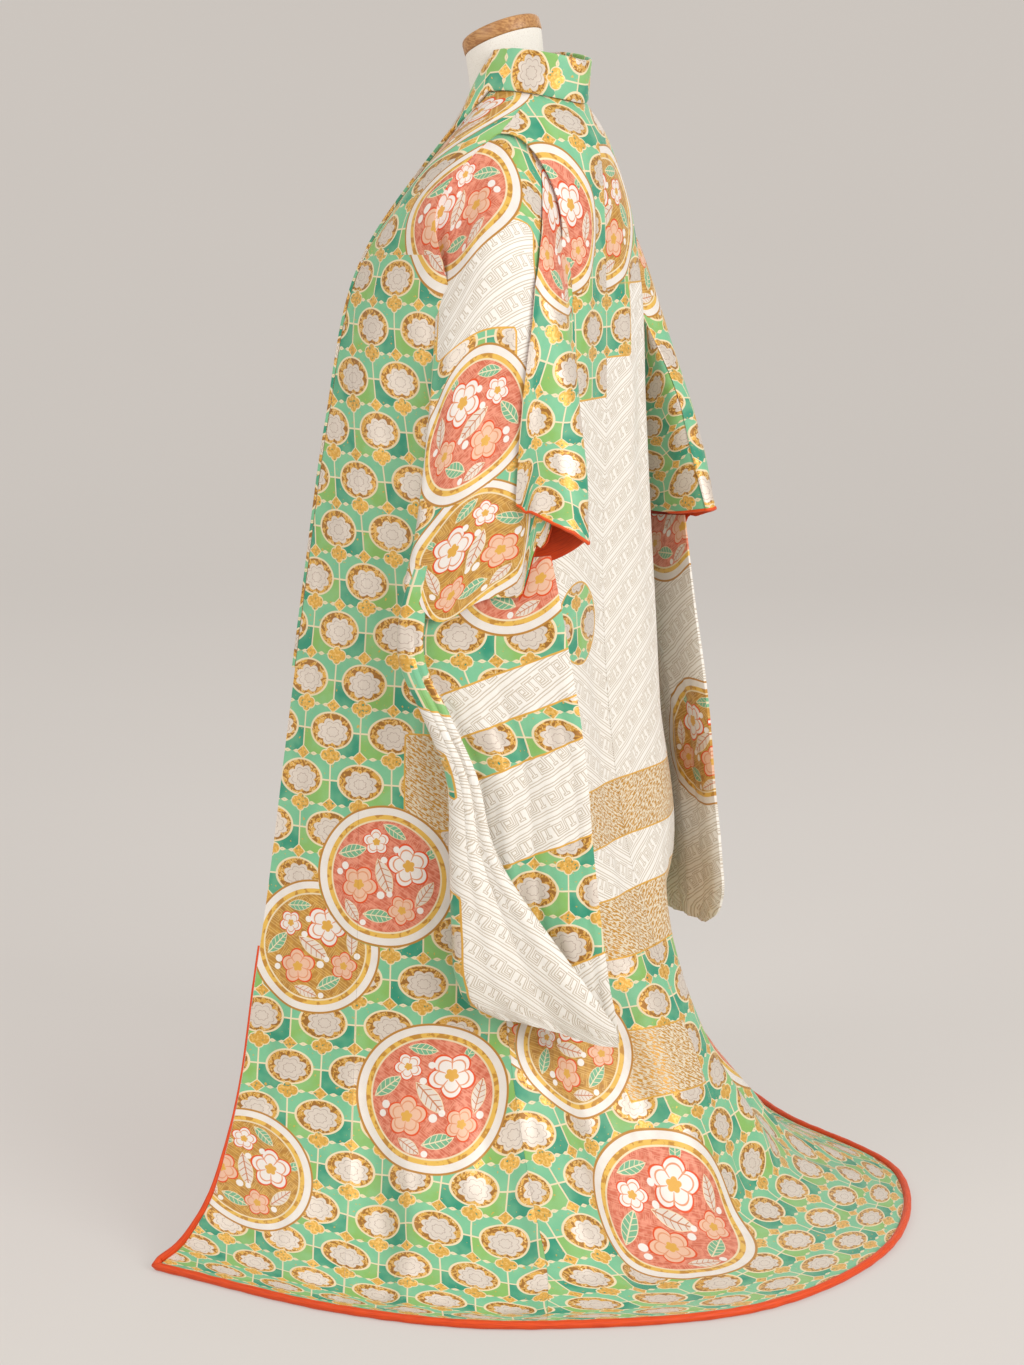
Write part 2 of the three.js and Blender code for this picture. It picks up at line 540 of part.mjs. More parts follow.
// One point of a ring of the sleeve: a flattened tube with a pleat, and a mouth that rises beside it.
function sleeveRing(side, row, turn) {
  const angle = turn * 2 * Math.PI;
  const degrees = turn * 360;
  const bump = (at, wide) => Math.exp(-(((degrees - at) / wide) ** 2));
  const atEdges = Math.cos(angle) ** 2;
  const front = Math.cos(angle) > 0;
  const outer = squash(Math.sin(angle), 0.7);
  const pleat = row.pleat * (0.35 * bump(PLEAT.ridge, PLEAT.wide) - 0.8 * bump(PLEAT.valley, PLEAT.wide));
  const across = mix(row.back, row.front, (squash(Math.cos(angle), 0.8) + 1) / 2);
  const middle = mix((row.near + row.far) / 2, front ? row.frontOut : row.backOut, atEdges);
  const out = middle + (outer * (row.near - row.far)) / 2 + pleat;
  const faces = mix(row.farZ, row.nearZ, (Math.sin(angle) + 1) / 2);
  const mouth = smooth(degrees, MOUTH.start, MOUTH.open) * (1 - smooth(degrees, MOUTH.open, MOUTH.back));
  const height = mix(faces, front ? row.frontZ : row.backZ, atEdges) + row.mouth * mouth
    - row.dip * bump(DIP.at, DIP.wide);
  return placed(across + SLEEVE_SHIFT[side], out, height);
}

// The upper sleeve's outer face: turn from 0 to 1 round it, run from the armhole to the wrist.
function sleevePoint(side, turn, run) {
  const lift = SEAM_GAP + CLOTH + RIM_EASE;
  const table = SLEEVE_RINGS[side];
  const rings = table.map((row) => sleeveRing(side, row, turn));
  const rim = armholeRim(side, turn, lift);
  const start = armholeRim(side, turn, lift + 4).lerp(rings[0], 0.2);
  return spline([0, 0.07, ...table.map((row) => row.run)], [rim, start, ...rings], run);
}

const SLEEVE_RUNS = [0, 0.06, 0.15, 0.27, 0.4, 0.54, 0.68, 0.81, 0.91, 1];
const SLEEVE_COLUMNS = 26;

// Seen from outside with down below, the left sleeve's front is on the left.
const upperSleeve = (side, thick = CLOTH) => wall(forSide(side, (s, t) => sleevePoint(side, s, t)),
  SLEEVE_COLUMNS, SLEEVE_RUNS, thick, true);

// The bag's middle surface at a level: way 0 is the near arm's end, 1 the far arm's end.
function bagPath(side, z, way) {
  const levels = [...BAG_LEVELS[side]].reverse();
  const at = (name) => column(levels, "z", name, z);
  const [fold, tip, back, out, apart] = ["fold", "tip", "back", "out", "apart"].map(at);
  const half = apart / 2;
  const bent = BAG_PARTS.near + BAG_PARTS.bend;
  let across = mix(fold + half, back, (way - bent) / (1 - bent));
  let away = out;
  if (way < BAG_PARTS.near) {
    across = mix(tip, fold + half, way / BAG_PARTS.near);
    away = out + apart;
  } else if (way < bent) {
    const angle = Math.PI * ((way - BAG_PARTS.near) / BAG_PARTS.bend);
    across = fold + half - half * Math.sin(angle);
    away = out + half + half * Math.cos(angle);
  }
  const low = smooth(across, fold, BAG_PARTS.back);
  return placed(across + SLEEVE_SHIFT[side], away, z - at("drop") * low);
}

// A loop round the bag at a level, `inset` inside its outer face.
function bagLoop(side, z, inset) {
  const half = column([...BAG_LEVELS[side]].reverse(), "z", "thick", z) / 2 - inset;
  const ways = [0, 0.17, 0.35, 0.4, 0.44, 0.48, 0.53, 0.68, 0.84, 1];
  const h = 0.01;
  const along = (way) => {
    const step = bagPath(side, z, Math.min(way + h, 1)).sub(bagPath(side, z, Math.max(way - h, 0)));
    return step.setZ(0).normalize();
  };
  const offset = (way, by) => {
    const forward = along(way);
    const fromEnd = way === 0 ? inset : way === 1 ? -inset : 0;
    const sideways = vec(forward.y, -forward.x, 0);
    return bagPath(side, z, way).addScaledVector(sideways, by).addScaledVector(forward, fromEnd);
  };
  return { one: ways.map((way) => offset(way, half)), other: ways.map((way) => offset(way, -half)) };
}

// The bag: two layers of cloth, closed at the foot and open at the top, where it hangs inside the upper sleeve.
function bag(side) {
  const foot = BAG_LEVELS[side].at(-1).z;
  const levels = [BAG_TOP_Z, 890, 840, 785, 740, 700, 640, 560, 500, 445, 400, 370, 356, foot];
  const ring = ({ one, other }) => [...one, ...other.reverse()];
  const outer = levels.map((z) => ring(bagLoop(side, z, 0)));
  const inner = levels.map((z) => ring(bagLoop(side, Math.max(z, foot + 2), BAG_WALL)));
  const columns = outer[0].length;
  const rows = levels.length;
  const points = [...outer.flat(), ...inner.flat()];
  const shift = rows * columns;
  const at = (r, c) => r * columns + (c % columns);
  const index = [];
  const quad = (a, b, c, d) => index.push(a, b, c, a, c, d);
  for (let r = 0; r < rows - 1; r++) {
    for (let c = 0; c < columns; c++) {
      const corners = [at(r, c), at(r + 1, c), at(r + 1, c + 1), at(r, c + 1)];
      quad(...corners);
      quad(...turned(corners.map((k) => k + shift)));
    }
  }
  for (let c = 0; c < columns; c++) quad(at(0, c + 1), at(0, c + 1) + shift, at(0, c) + shift, at(0, c));
  const last = rows - 1;
  for (let c = 0; c < columns / 2 - 1; c++) {
    const corners = [at(last, c), at(last, columns - 1 - c), at(last, columns - 2 - c), at(last, c + 1)];
    quad(...corners);
    quad(...turned(corners.map((k) => k + shift)));
  }
  return geometryOf(points, index);
}

// The same surface on the other side of the body, still facing out.
function flipped(geometry) {
  const other = geometry.clone().applyMatrix4(new THREE.Matrix4().makeScale(-1, 1, 1));
  const index = other.index.array;
  for (let i = 0; i < index.length; i += 3) [index[i + 1], index[i + 2]] = [index[i + 2], index[i + 1]];
  return other;
}

// A solid less its neighbours, keeping its main body and dropping the cut's smallest slivers.
function trimmed(solid, neighbours) {
  const cut = neighbours.reduce((left, neighbour) => left.subtract(neighbour), solid).simplify(SLIVER);
  return cut.decompose().reduce((most, body) => (body.volume() > most.volume() ? body : most));
}

// The upper sleeve and its bag in one, cut clear of the panels that they lie on.
function sleeve(side) {
  const lower = side === "left" ? bag(side) : flipped(bag(side));
  const cloth = solidOf(upperSleeve(side)).add(solidOf(lower));
  const clear = [backPanel(side, SLEEVE_GAP), frontPanel(side, SLEEVE_GAP)].map(solidOf);
  return meshOf(trimmed(cloth, clear));
}

// The orange lining that shows inside the wrist, from the mouth's start round to the inner face.
function sleeveLining(side) {
  const first = Math.ceil((MOUTH.start / 360) * SLEEVE_COLUMNS);
  const last = Math.floor((MOUTH.inner / 360) * SLEEVE_COLUMNS);
  const face = (s, t) => {
    const turn = mix(first, last, s) / SLEEVE_COLUMNS;
    const outer = (a, b) => sleevePoint(side, a, b);
    return outer(turn, t).addScaledVector(outward(outer, turn, t), -CLOTH - LINING_GAP);
  };
  const rows = [...SLEEVE_RUNS.filter((run) => run > LINING_TOP), 1 + LINING_LIP];
  const silk = solidOf(wall(forSide(side, face), last - first, rows, LINING));
  return meshOf(trimmed(silk, [solidOf(upperSleeve(side, CLOTH + SEAM_GAP))]));
}

// ---- Dress form and stand ----
function formRing({ z, y, wide, deep }, power = 0.86, sides = 24) {
  return steps(sides).slice(0, -1).map((s) => {
    const angle = s * 2 * Math.PI;
    return vec(wide * squash(Math.cos(angle), power), y + deep * squash(Math.sin(angle), power), z);
  });
}

const torso = () => stack(TORSO.map((row) => formRing(row)));

function neckRing({ z, y, radius, tilt }) {
  const slope = Math.tan(THREE.MathUtils.degToRad(NECK_TILT * tilt));
  return formRing({ z, y, wide: radius, deep: radius }, 1).map((p) => vec(p.x, p.y, p.z + (p.y - y) * slope));
}

const neck = () => stack(NECK.map(neckRing));

// The wooden cap follows the neck's lean. Each ring is a height above the neck and how far it draws in.
function cap() {
  const top = NECK.at(-1);
  const rings = [
    { rise: SEAM_GAP * 1.4, shrink: 1.5 },
    { rise: 2, shrink: 0 },
    { rise: CAP_THICK - 5, shrink: 0 },
    { rise: CAP_THICK - 1.5, shrink: 1.6 },
    { rise: CAP_THICK, shrink: 5 },
  ];
  return stack(rings.map(({ rise, shrink }) =>
    neckRing({ z: top.z + rise, y: top.y - rise * 0.3, radius: top.radius + 0.8 - shrink, tilt: 1 })));
}

function pole() {
  const height = TORSO[0].z - BASE_THICK - 2 * SEAM_GAP;
  const geometry = new THREE.CylinderGeometry(POLE_RADIUS, POLE_RADIUS, height, 20);
  return geometry.rotateX(Math.PI / 2).translate(0, 0, BASE_THICK + SEAM_GAP + height / 2);
}

function base() {
  const cut = BASE_ROUND * 0.3;
  const profile = [
    [0, 0], [BASE_RADIUS - 1, 0], [BASE_RADIUS, 1], [BASE_RADIUS, BASE_THICK - BASE_ROUND],
    [BASE_RADIUS - cut, BASE_THICK - cut], [BASE_RADIUS - BASE_ROUND, BASE_THICK], [0, BASE_THICK],
  ].map(([x, y]) => new THREE.Vector2(x, y));
  return new THREE.LatheGeometry(profile, 40).rotateX(Math.PI / 2);
}

// ---- The whole ----
const whole = new THREE.Group();

function addPiece(name, geometry, look) {
  const mesh = new THREE.Mesh(geometry, new THREE.MeshStandardMaterial(COLOURS[look]));
  mesh.name = name;
  whole.add(mesh);
}

for (const side of ["left", "right"]) {
  addPiece(`${side}_back`, backPanel(side), "brocade");
  addPiece(`${side}_front`, frontPanel(side), "brocade");
  addPiece(`${side}_okumi`, okumiPanel(side), "brocade");
  addPiece(`${side}_sleeve`, sleeve(side), "ivory");
  addPiece(`${side}_sleeve_lining`, sleeveLining(side), "orange");
  addPiece(`${side}_hem_roll`, hemRoll(side), "orange");
}
addPiece("collar", collar(), "brocade");
addPiece("form_torso", torso(), "canvas");
addPiece("form_neck", neck(), "canvas");
addPiece("form_cap", cap(), "wood");
addPiece("form_pole", pole(), "steel");
addPiece("form_base", base(), "steel");

export default whole;
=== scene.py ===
# A furisode worn open on a dress form: cloth shells, linings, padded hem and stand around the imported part.
# Lengths in the tables are millimetres, as in the part's own source; meshes are made in metres.
import math

import bpy
import numpy as np
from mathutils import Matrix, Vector


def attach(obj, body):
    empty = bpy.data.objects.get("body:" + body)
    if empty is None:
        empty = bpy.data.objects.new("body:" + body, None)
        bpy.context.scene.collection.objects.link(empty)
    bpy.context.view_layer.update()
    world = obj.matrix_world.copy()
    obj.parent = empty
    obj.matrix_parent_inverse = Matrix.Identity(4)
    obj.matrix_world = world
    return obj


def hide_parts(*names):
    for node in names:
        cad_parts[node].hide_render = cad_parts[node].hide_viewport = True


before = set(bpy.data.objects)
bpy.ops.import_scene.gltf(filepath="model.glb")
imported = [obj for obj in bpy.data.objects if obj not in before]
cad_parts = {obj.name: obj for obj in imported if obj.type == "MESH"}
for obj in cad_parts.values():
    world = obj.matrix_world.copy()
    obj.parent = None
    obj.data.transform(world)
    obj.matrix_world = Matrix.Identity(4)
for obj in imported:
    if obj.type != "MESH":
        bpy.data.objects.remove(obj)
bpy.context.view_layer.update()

# ---- Driving dimensions, in mm ----
MM = 0.001
CLOTH = 2.0  # brocade, interlining and lining together
SEAM_GAP = 0.3
STEP = 8.0  # size of a cloth shell's cells
COLLAR_WIDTH = 56.0
COLLAR_THICK = 5.0
COLLAR_END = 750.0
OKUMI_TOP = 200.0
OKUMI_FULL = 700.0
ROLL_RADIUS = 5.5
ROLL_THIN = 1.4
ROLL_TOP = 1120.0
HEM_RISE = 6.5
FOLD_ROOM = 90.0
SLEEVE_TURN = math.radians(30)
RIM_EASE = 1.0
BAG_WALL = 1.6
PIPING_RADIUS = 1.4
LINING = 1.2
LINING_GAP = 0.9
LINING_TOP = 0.8
LINING_LIP = 0.006
# Degrees round each wrist between which its lining shows.
MOUTH_LINING = {"left": (100.0, 250.0), "right": (70.0, 250.0)}
SHARP = 50  # degrees at an edge that isn't shaded smooth
SIDE_SEAM = 0.46  # shares of the way round the half robe
OKUMI_SEAM = 0.745
ARMHOLE = dict(to_back=0.24, to_front=0.085, top=55.0, foot=275.0, lap=0.028, below=14.0)
# The panels have a row of cells of their own at these distances inside the armhole's top and foot, in mm.
NEAR_EDGE = (0, 1, 3, 7, 11)
ARMHOLE_ROWS = tuple(ARMHOLE["top"] + d for d in NEAR_EDGE) + tuple(ARMHOLE["foot"] - d for d in NEAR_EDGE)
PANEL_ROWS = {"back": ARMHOLE_ROWS, "front": (*ARMHOLE_ROWS, OKUMI_TOP - STEP, OKUMI_TOP), "okumi": ()}
NUDGE = 0.002  # share of the way round or down over which a slope is measured
FULL_TURN = 2 * math.pi
WAVE_TURN = 6.283  # a full turn in the patterns' waves

# One row a level of the half robe: the way down the cloth, then five places from the centre of the back round
# the side to the front edge. RIGHT_LEVELS holds the places that lie differently on the right half.
LEVELS = [
    (0, (0, 104, 1520), (36, 92, 1525), (60, 66, 1531), (72, 34, 1535), (74, 8, 1534)),
    (60, (0, 132, 1468), (66, 110, 1478), (126, 52, 1476), (134, -12, 1470), (100, -52, 1462)),
    (125, (0, 141, 1405), (92, 128, 1402), (186, 34, 1404), (166, -62, 1396), (124, -114, 1378)),
    (225, (0, 145, 1300), (108, 140, 1300), (200, 50, 1300), (188, -72, 1300), (146, -153, 1300)),
    (425, (0, 147, 1100), (120, 143, 1100), (212, 62, 1100), (226, -70, 1100), (200, -170, 1100)),
    (635, (0, 143, 890), (132, 147, 890), (226, 76, 890), (258, -70, 890), (241, -181, 890)),
    (835, (0, 156, 690), (136, 160, 690), (240, 92, 690), (290, -65, 690), (288, -184, 690)),
    (1060, (0, 197, 470), (128, 188, 470), (248, 118, 470), (318, -52, 470), (341, -185, 470)),
    (1190, (0, 244, 340), (118, 198, 340), (254, 136, 340), (336, -45, 345), (373, -186, 350)),
    (1300, (0, 291, 238), (120, 224, 238), (264, 155, 238), (354, -40, 240), (399, -187, 245)),
    (1425, (0, 335, 130), (150, 290, 122), (312, 208, 118), (398, -18, 132), (439, -187, 150)),
    (1530, (0, 386, 34), (192, 362, 32), (364, 262, 44), (452, 10, 60), (474, -193, 80)),
    (1610, (0, 465, 12), (222, 432, 11), (401, 284, 15), (490, 32, 24), (501, -209, 36)),
    (1735, (0, 576, HEM_RISE), (243, 511, HEM_RISE), (430, 298, HEM_RISE), (520, 50, HEM_RISE),
     (531, -233, HEM_RISE)),
]
BLADE, SIDE = 1, 2
RIGHT_LEVELS = {
    1190: {BLADE: (106, 176, 340), SIDE: (224, 116, 340)},
    1300: {BLADE: (112, 206, 238), SIDE: (236, 138, 238)},
    1425: {SIDE: (286, 184, 118)},
    1530: {SIDE: (334, 236, 40)},
    1610: {SIDE: (360, 254, 15)},
    1735: {BLADE: (256, 492, HEM_RISE), SIDE: (386, 262, HEM_RISE)},
}
ROUND = np.array([-0.22, 0, 0.22, SIDE_SEAM, OKUMI_SEAM, 1])
HEM = float(LEVELS[-1][0])

# round at its foot, lean of round a mm of height, half width, top, foot, depth
FOLDS = {
    "left": [
        (0.3, 0, 0.05, 760, 1640, 9), (0.4, 0, 0.045, 1180, 1700, -13), (0.49, 0.00006, 0.04, 1080, 1690, 12),
        (0.6, 0.0001, 0.04, 1230, 1680, -14), (0.68, 0.0001, 0.035, 1150, 1700, 11),
        (0.8, 0, 0.04, 1380, 1700, -8), (0.11, 0, 0.06, 960, 1600, -14),
    ],
    "right": [
        (0.26, 0, 0.05, 900, 1660, 6), (0.37, 0, 0.045, 1120, 1700, -12), (0.46, 0.00005, 0.04, 1000, 1690, 10),
        (0.56, 0.00008, 0.04, 1200, 1680, -13), (0.65, 0.0001, 0.04, 1120, 1700, 12),
        (0.82, 0, 0.045, 1340, 1690, -9), (0.11, 0, 0.06, 960, 1600, -20),
    ],
}

# Soft creases: round and down of the top and of the foot, half width in mm, depth in mm.
CREASES = {
    "left": [
        (0.10, 120, 0.14, 420, 14, -3.0), (0.17, 150, 0.22, 560, 18, 3.0), (0.24, 330, 0.27, 760, 16, -3.5),
        (0.33, 520, 0.33, 900, 18, 3.0), (0.06, 700, 0.05, 1150, 20, 2.5), (0.40, 420, 0.42, 820, 16, -3.0),
        (0.52, 300, 0.55, 760, 20, 3.5), (0.60, 330, 0.61, 980, 18, -3.0), (0.67, 560, 0.68, 1180, 22, 3.0),
        (0.74, 900, 0.75, 1450, 16, -3.5), (0.81, 620, 0.82, 1240, 20, 3.0), (0.88, 820, 0.90, 1420, 18, -3.0),
        (0.95, 1150, 0.94, 1560, 14, 2.5), (0.45, 1190, 0.47, 1620, 15, -5.0), (0.53, 1300, 0.55, 1660, 13, 4.5),
        (0.63, 1380, 0.66, 1680, 14, -4.5), (0.73, 1440, 0.75, 1690, 14, 4.0), (0.84, 1500, 0.86, 1700, 14, -3.5),
        (0.18, 1260, 0.19, 1560, 22, 4.0), (0.34, 1340, 0.36, 1640, 18, -4.5), (0.02, 1290, 0.03, 1600, 18, -3.5),
        (0.25, 1560, 0.27, 1715, 16, 2.6), (0.10, 1600, 0.12, 1720, 16, 2.4), (0.41, 1600, 0.42, 1720, 14, 2.6),
    ],
    "right": [
        (0.08, 160, 0.12, 520, 15, -3.0), (0.16, 200, 0.20, 640, 17, 3.0), (0.23, 380, 0.25, 820, 16, -3.5),
        (0.31, 560, 0.31, 980, 20, 3.0), (0.05, 640, 0.06, 1100, 18, -2.5), (0.39, 460, 0.41, 900, 16, 3.0),
        (0.51, 340, 0.54, 800, 20, -3.0), (0.59, 380, 0.60, 960, 18, 3.0), (0.68, 600, 0.68, 1240, 20, -3.0),
        (0.77, 860, 0.78, 1400, 18, 3.0), (0.86, 700, 0.87, 1330, 18, -3.0), (0.94, 1100, 0.93, 1580, 15, 2.5),
        (0.20, 1240, 0.21, 1580, 20, -4.5), (0.31, 1300, 0.33, 1620, 18, 4.0), (0.43, 1200, 0.44, 1640, 15, -4.5),
        (0.55, 1340, 0.57, 1670, 14, 4.5), (0.66, 1400, 0.68, 1690, 14, -4.0), (0.79, 1480, 0.81, 1700, 14, 3.5),
        (0.06, 1330, 0.08, 1600, 20, 3.5), (0.27, 1600, 0.29, 1718, 15, 2.5),
    ],
}

# One row a ring of the upper sleeve: run, its front and back edges across it, how far out from the body's axis
# its outer face, inner face and two edges lie, their heights, then the pleat, the mouth's rise and the dip.
SLEEVE_NAMES = ("run", "front", "back", "near", "far", "front_out", "back_out",
                "near_z", "far_z", "front_z", "back_z", "pleat", "mouth", "dip")
SLEEVE_TOP = [
    (0.24, -98, 76, 208, 211, 170, 158, 1352, 1204, 1290, 1290, 2, 0, 0),
    (0.4, -99, 80, 238, 216, 205, 194, 1262, 1165, 1212, 1225, 8, 0, 0),
    (0.65, -110, 88, 273, 231, 248, 246, 1120, 1080, 1085, 1120, 16, 0, 0),
    (0.85, -127, 94, 292, 248, 268, 268, 1005, 990, 970, 1036, 19, 40, 12),
]
SLEEVE_RINGS = {
    "left": SLEEVE_TOP + [(1, -139, 97, 302, 257, 278, 279, 901, 930, 912, 970, 15, 84, 42)],
    "right": SLEEVE_TOP + [(1, -137, 108, 300, 255, 278, 283, 960, 950, 914, 962, 8, 30, 20)],
}
PLEAT = dict(valley=101, ridge=136, wide=24)  # degrees round the tube from its front edge
MOUTH = dict(start=100, open=112, back=180)
DIP = dict(at=56, wide=24)

# One row a level of the lower sleeve: z, the hairpin's fold, the near arm's tip, the far arm's end, how far out
# the far arm lies, the way between the arms, the bag's thickness and how much its back end drops.
BAG_NAMES = ("z", "fold", "tip", "back", "out", "apart", "thick", "drop")
BAG_TOP = [
    (936, -122, -98, 50, 278, 9, 6, -16), (880, -139, -110, 62, 279, 12, 8, -10),
    (815, -142, -112, 75, 282, 15, 10, 0), (740, -110, -78, 88, 287, 18, 12, 0),
    (670, -82, -47, 97, 292, 24, 12, 0), (560, -76, -17, 107, 298, 31, 12, 4),
]
BAG_LEVELS = {
    "left": BAG_TOP + [(455, -72, 56, 120, 304, 33, 13, 12), (392, -66, 112, 131, 309, 30, 12, 26),
                       (358, -48, 138, 140, 313, 22, 8, 34), (348, -30, 139, 141, 314, 20, 5, 36)],
    "right": BAG_TOP + [(455, -72, 22, 118, 304, 30, 13, 4), (392, -68, 44, 118, 307, 28, 12, 2),
                        (358, -54, 46, 98, 309, 24, 8, 0), (342, -34, 34, 72, 310, 20, 5, 0)],
}
SLEEVE_SHIFT = {"left": 0.0, "right": -36.0}
NEAR_SHARE, BEND_SHARE = 0.36, 0.16  # of the way along the hairpin: its near arm, then its bend
NEAR_COUNT = 26  # points along the near arm
BAG_START, LEFT_FOOT, BAG_FOOT = 936, 348, 342  # heights of the bag's top and of each side's lowest level


# ---- Curves and surfaces ----
def smooth(x, low, high):
    t = np.clip((x - low) / (high - low), 0, 1)
    return t * t * (3 - 2 * t)


def spline(knots, points, at):
    """A smooth curve through points (K, ...) at uneven knots, at each place in `at`."""
    knots = np.asarray(knots, float)
    points = np.asarray(points, float)
    at = np.atleast_1d(np.asarray(at, float))
    gaps = np.diff(knots)
    shape = (-1,) + (1,) * (points.ndim - 1)
    slopes = np.diff(points, axis=0) / gaps.reshape(shape)
    before, after = gaps[:-1].reshape(shape), gaps[1:].reshape(shape)
    inner = (slopes[:-1] * after + slopes[1:] * before) / (before + after)
    tangents = np.concatenate([slopes[:1], inner, slopes[-1:]])
    i = np.searchsorted(knots[1:-1], at, side="left")
    span = gaps[i].reshape(shape)
    t = ((at - knots[i]) / gaps[i]).reshape(shape)
    start, end = points[i], points[i + 1]
    leave, reach = tangents[i], tangents[i + 1]
    curve = (start * (1 + 2 * t) * (1 - t) ** 2 + leave * span * t * (1 - t) ** 2
             + end * t * t * (3 - 2 * t) + reach * span * t * t * (t - 1))
    low = start + leave * span * t
    high = end + reach * span * (t - 1)
    return np.where(t < 0, low, np.where(t > 1, high, curve))


def unit(v):
    return v / np.maximum(np.linalg.norm(v, axis=-1, keepdims=True), 1e-9)


def steps_along(points):
    return np.linalg.norm(np.diff(points, axis=0), axis=1)


def run_along(points):
    """The way along a line of points, at each of them."""
    return np.concatenate([[0], np.cumsum(steps_along(points))])


def squash(x, power):
    """A sine or cosine made fuller, for a rounded box in place of an ellipse."""
    return np.sign(x) * np.abs(x) ** power


def mirrored(points):
    return points * np.array([-1.0, 1.0, 1.0])


def level_places(side):
    rows = []
    for down, *places in LEVELS:
        changed = RIGHT_LEVELS.get(down, {}) if side == "right" else {}
        places = [changed.get(k, p) for k, p in enumerate(places)]
        ahead = mirrored(np.array(places[BLADE], float))
        rows.append([ahead] + [np.array(p, float) for p in places])
    return np.array(rows)


LEVEL_DOWNS = np.array([row[0] for row in LEVELS], float)
PLACES = {side: level_places(side) for side in ("left", "right")}


def plain_body(side, rounds, down):
    """The robe without folds, on the left: points at each of `rounds`, all `down` the cloth."""
    sections = spline(ROUND, PLACES[side].transpose(1, 0, 2), rounds)
    return spline(LEVEL_DOWNS, sections.transpose(1, 0, 2), down)[0]


def fold_depth(side, rounds, down):
    """How far the long folds push the cloth out at a row."""
    depth = np.zeros_like(rounds)
    for place, lean, wide, top, foot, deep in FOLDS[side]:
        reach = np.exp(-(((np.abs(rounds) - place - lean * (HEM - down)) / wide) ** 2))
        depth += deep * reach * smooth(down, top, top + 260) * (1 - smooth(down, foot - 90, foot + 30))
    return depth


def crease_depth(side, rounds, down, length):
    """The small creases' depth at a row, where `length` is the mm for each whole way round."""
    depth = np.zeros_like(rounds)
    for top_round, top, foot_round, foot, wide, deep in CREASES[side]:
        share = (down - top) / (foot - top)
        if not -0.3 < share < 1.3:
            continue
        sway = 0.006 * math.sin(7 * share + 40 * top_round)
        middle = top_round + (foot_round - top_round) * share + sway
        strength = smooth(share, -0.3, 0.35) * (1 - smooth(share, 0.6, 1.3))
        depth += deep * strength * np.exp(-(((np.abs(rounds) - middle) * length / wide) ** 2))
    return depth


def robe(side, rounds, down, creased=False):
    """The robe's outer face with its folds, on the left: points at each of `rounds`, all `down` the cloth."""
    rounds = np.atleast_1d(np.asarray(rounds, float))
    h = NUDGE
    point = plain_body(side, rounds, down)
    across = plain_body(side, rounds + h, down) - plain_body(side, rounds - h, down)
    below = plain_body(side, rounds, down + h * HEM) - plain_body(side, rounds, down - h * HEM)
    out = unit(np.cross(below, across))
    depth = fold_depth(side, rounds, down)
    if creased:
        length = np.linalg.norm(across, axis=-1).mean() / (2 * h)
        depth = depth + crease_depth(side, rounds, down, length)
    room = np.where(depth < 0, smooth(point[:, 2], HEM_RISE, FOLD_ROOM), 1)
    point = point + out * (depth * room)[:, None]
    point[:, 2] = np.maximum(point[:, 2], HEM_RISE)
    return point


def moved(side, place, down, by):
    """A share of the way round, moved by some mm."""
    h = 0.01
    ends = robe(side, [place + h, place - h], down)
    return place + by * 2 * h / np.linalg.norm(ends[0] - ends[1])


def armhole_shape(down):
    share = (down - ARMHOLE["top"]) / (ARMHOLE["foot"] - ARMHOLE["top"])
    return math.sqrt(max(0.0, 1 - (2 * share - 1) ** 2))


def okumi_seam(down):
    return 0.985 + (OKUMI_SEAM - 0.985) * float(smooth(down, OKUMI_TOP - 60, OKUMI_FULL))


# Each panel's two seams, as the way round at a place down the cloth, and where it starts.
PANELS = {
    "back": (lambda d: 0.0, lambda d: SIDE_SEAM - ARMHOLE["to_back"] * armhole_shape(d), 0.0),
    "front": (lambda d: SIDE_SEAM + ARMHOLE["to_front"] * armhole_shape(d),
              lambda d: 1.0 if d < OKUMI_TOP else okumi_seam(d), 0.0),
    "okumi": (okumi_seam, lambda d: 1.0, OKUMI_TOP),
}


def rows_between(start, end, step, extra=()):
    count = max(2, round((end - start) / step))
    rows = set(np.linspace(start, end, count + 1)) | set(extra)
    return np.array(sorted(rows))


def panel_grid(side, name):
    """Points (rows, columns) of a panel's outer face from its back seam to its front one, and its flat places."""
    first, last, start_down = PANELS[name]
    downs = rows_between(start_down, HEM, STEP, PANEL_ROWS[name])
    foot_width = steps_along(robe(side, np.linspace(first(HEM), last(HEM), 60), HEM)).sum()
    shares = np.linspace(0, 1, max(6, round(foot_width / STEP)) + 1)
    grid, flat = [], []
    for down in downs:
        a = moved(side, first(down), down, SEAM_GAP / 2)
        b = moved(side, last(down), down, -SEAM_GAP / 2)
        row = robe(side, a + (b - a) * shares, down, creased=True)
        run = run_along(row)
        offset = 0.0
        if name == "back":
            offset = steps_along(robe(side, np.linspace(0, a, 12), down)).sum()
        elif name == "front":
            offset = -run[-1]  # measured back from the front edge or the okumi seam
        grid.append(row)
        flat.append(np.stack([run + offset, np.full(len(run), down)], -1))
    return np.array(grid), np.array(flat)


ACROSS = np.array([-math.sin(SLEEVE_TURN), math.cos(SLEEVE_TURN), 0.0])
OUT = np.array([math.cos(SLEEVE_TURN), math.sin(SLEEVE_TURN), 0.0])


def placed(across, out, z):
    across, out, z = np.broadcast_arrays(across, out, z)
    return across[..., None] * ACROSS + out[..., None] * OUT + z[..., None] * np.array([0, 0, 1.0])


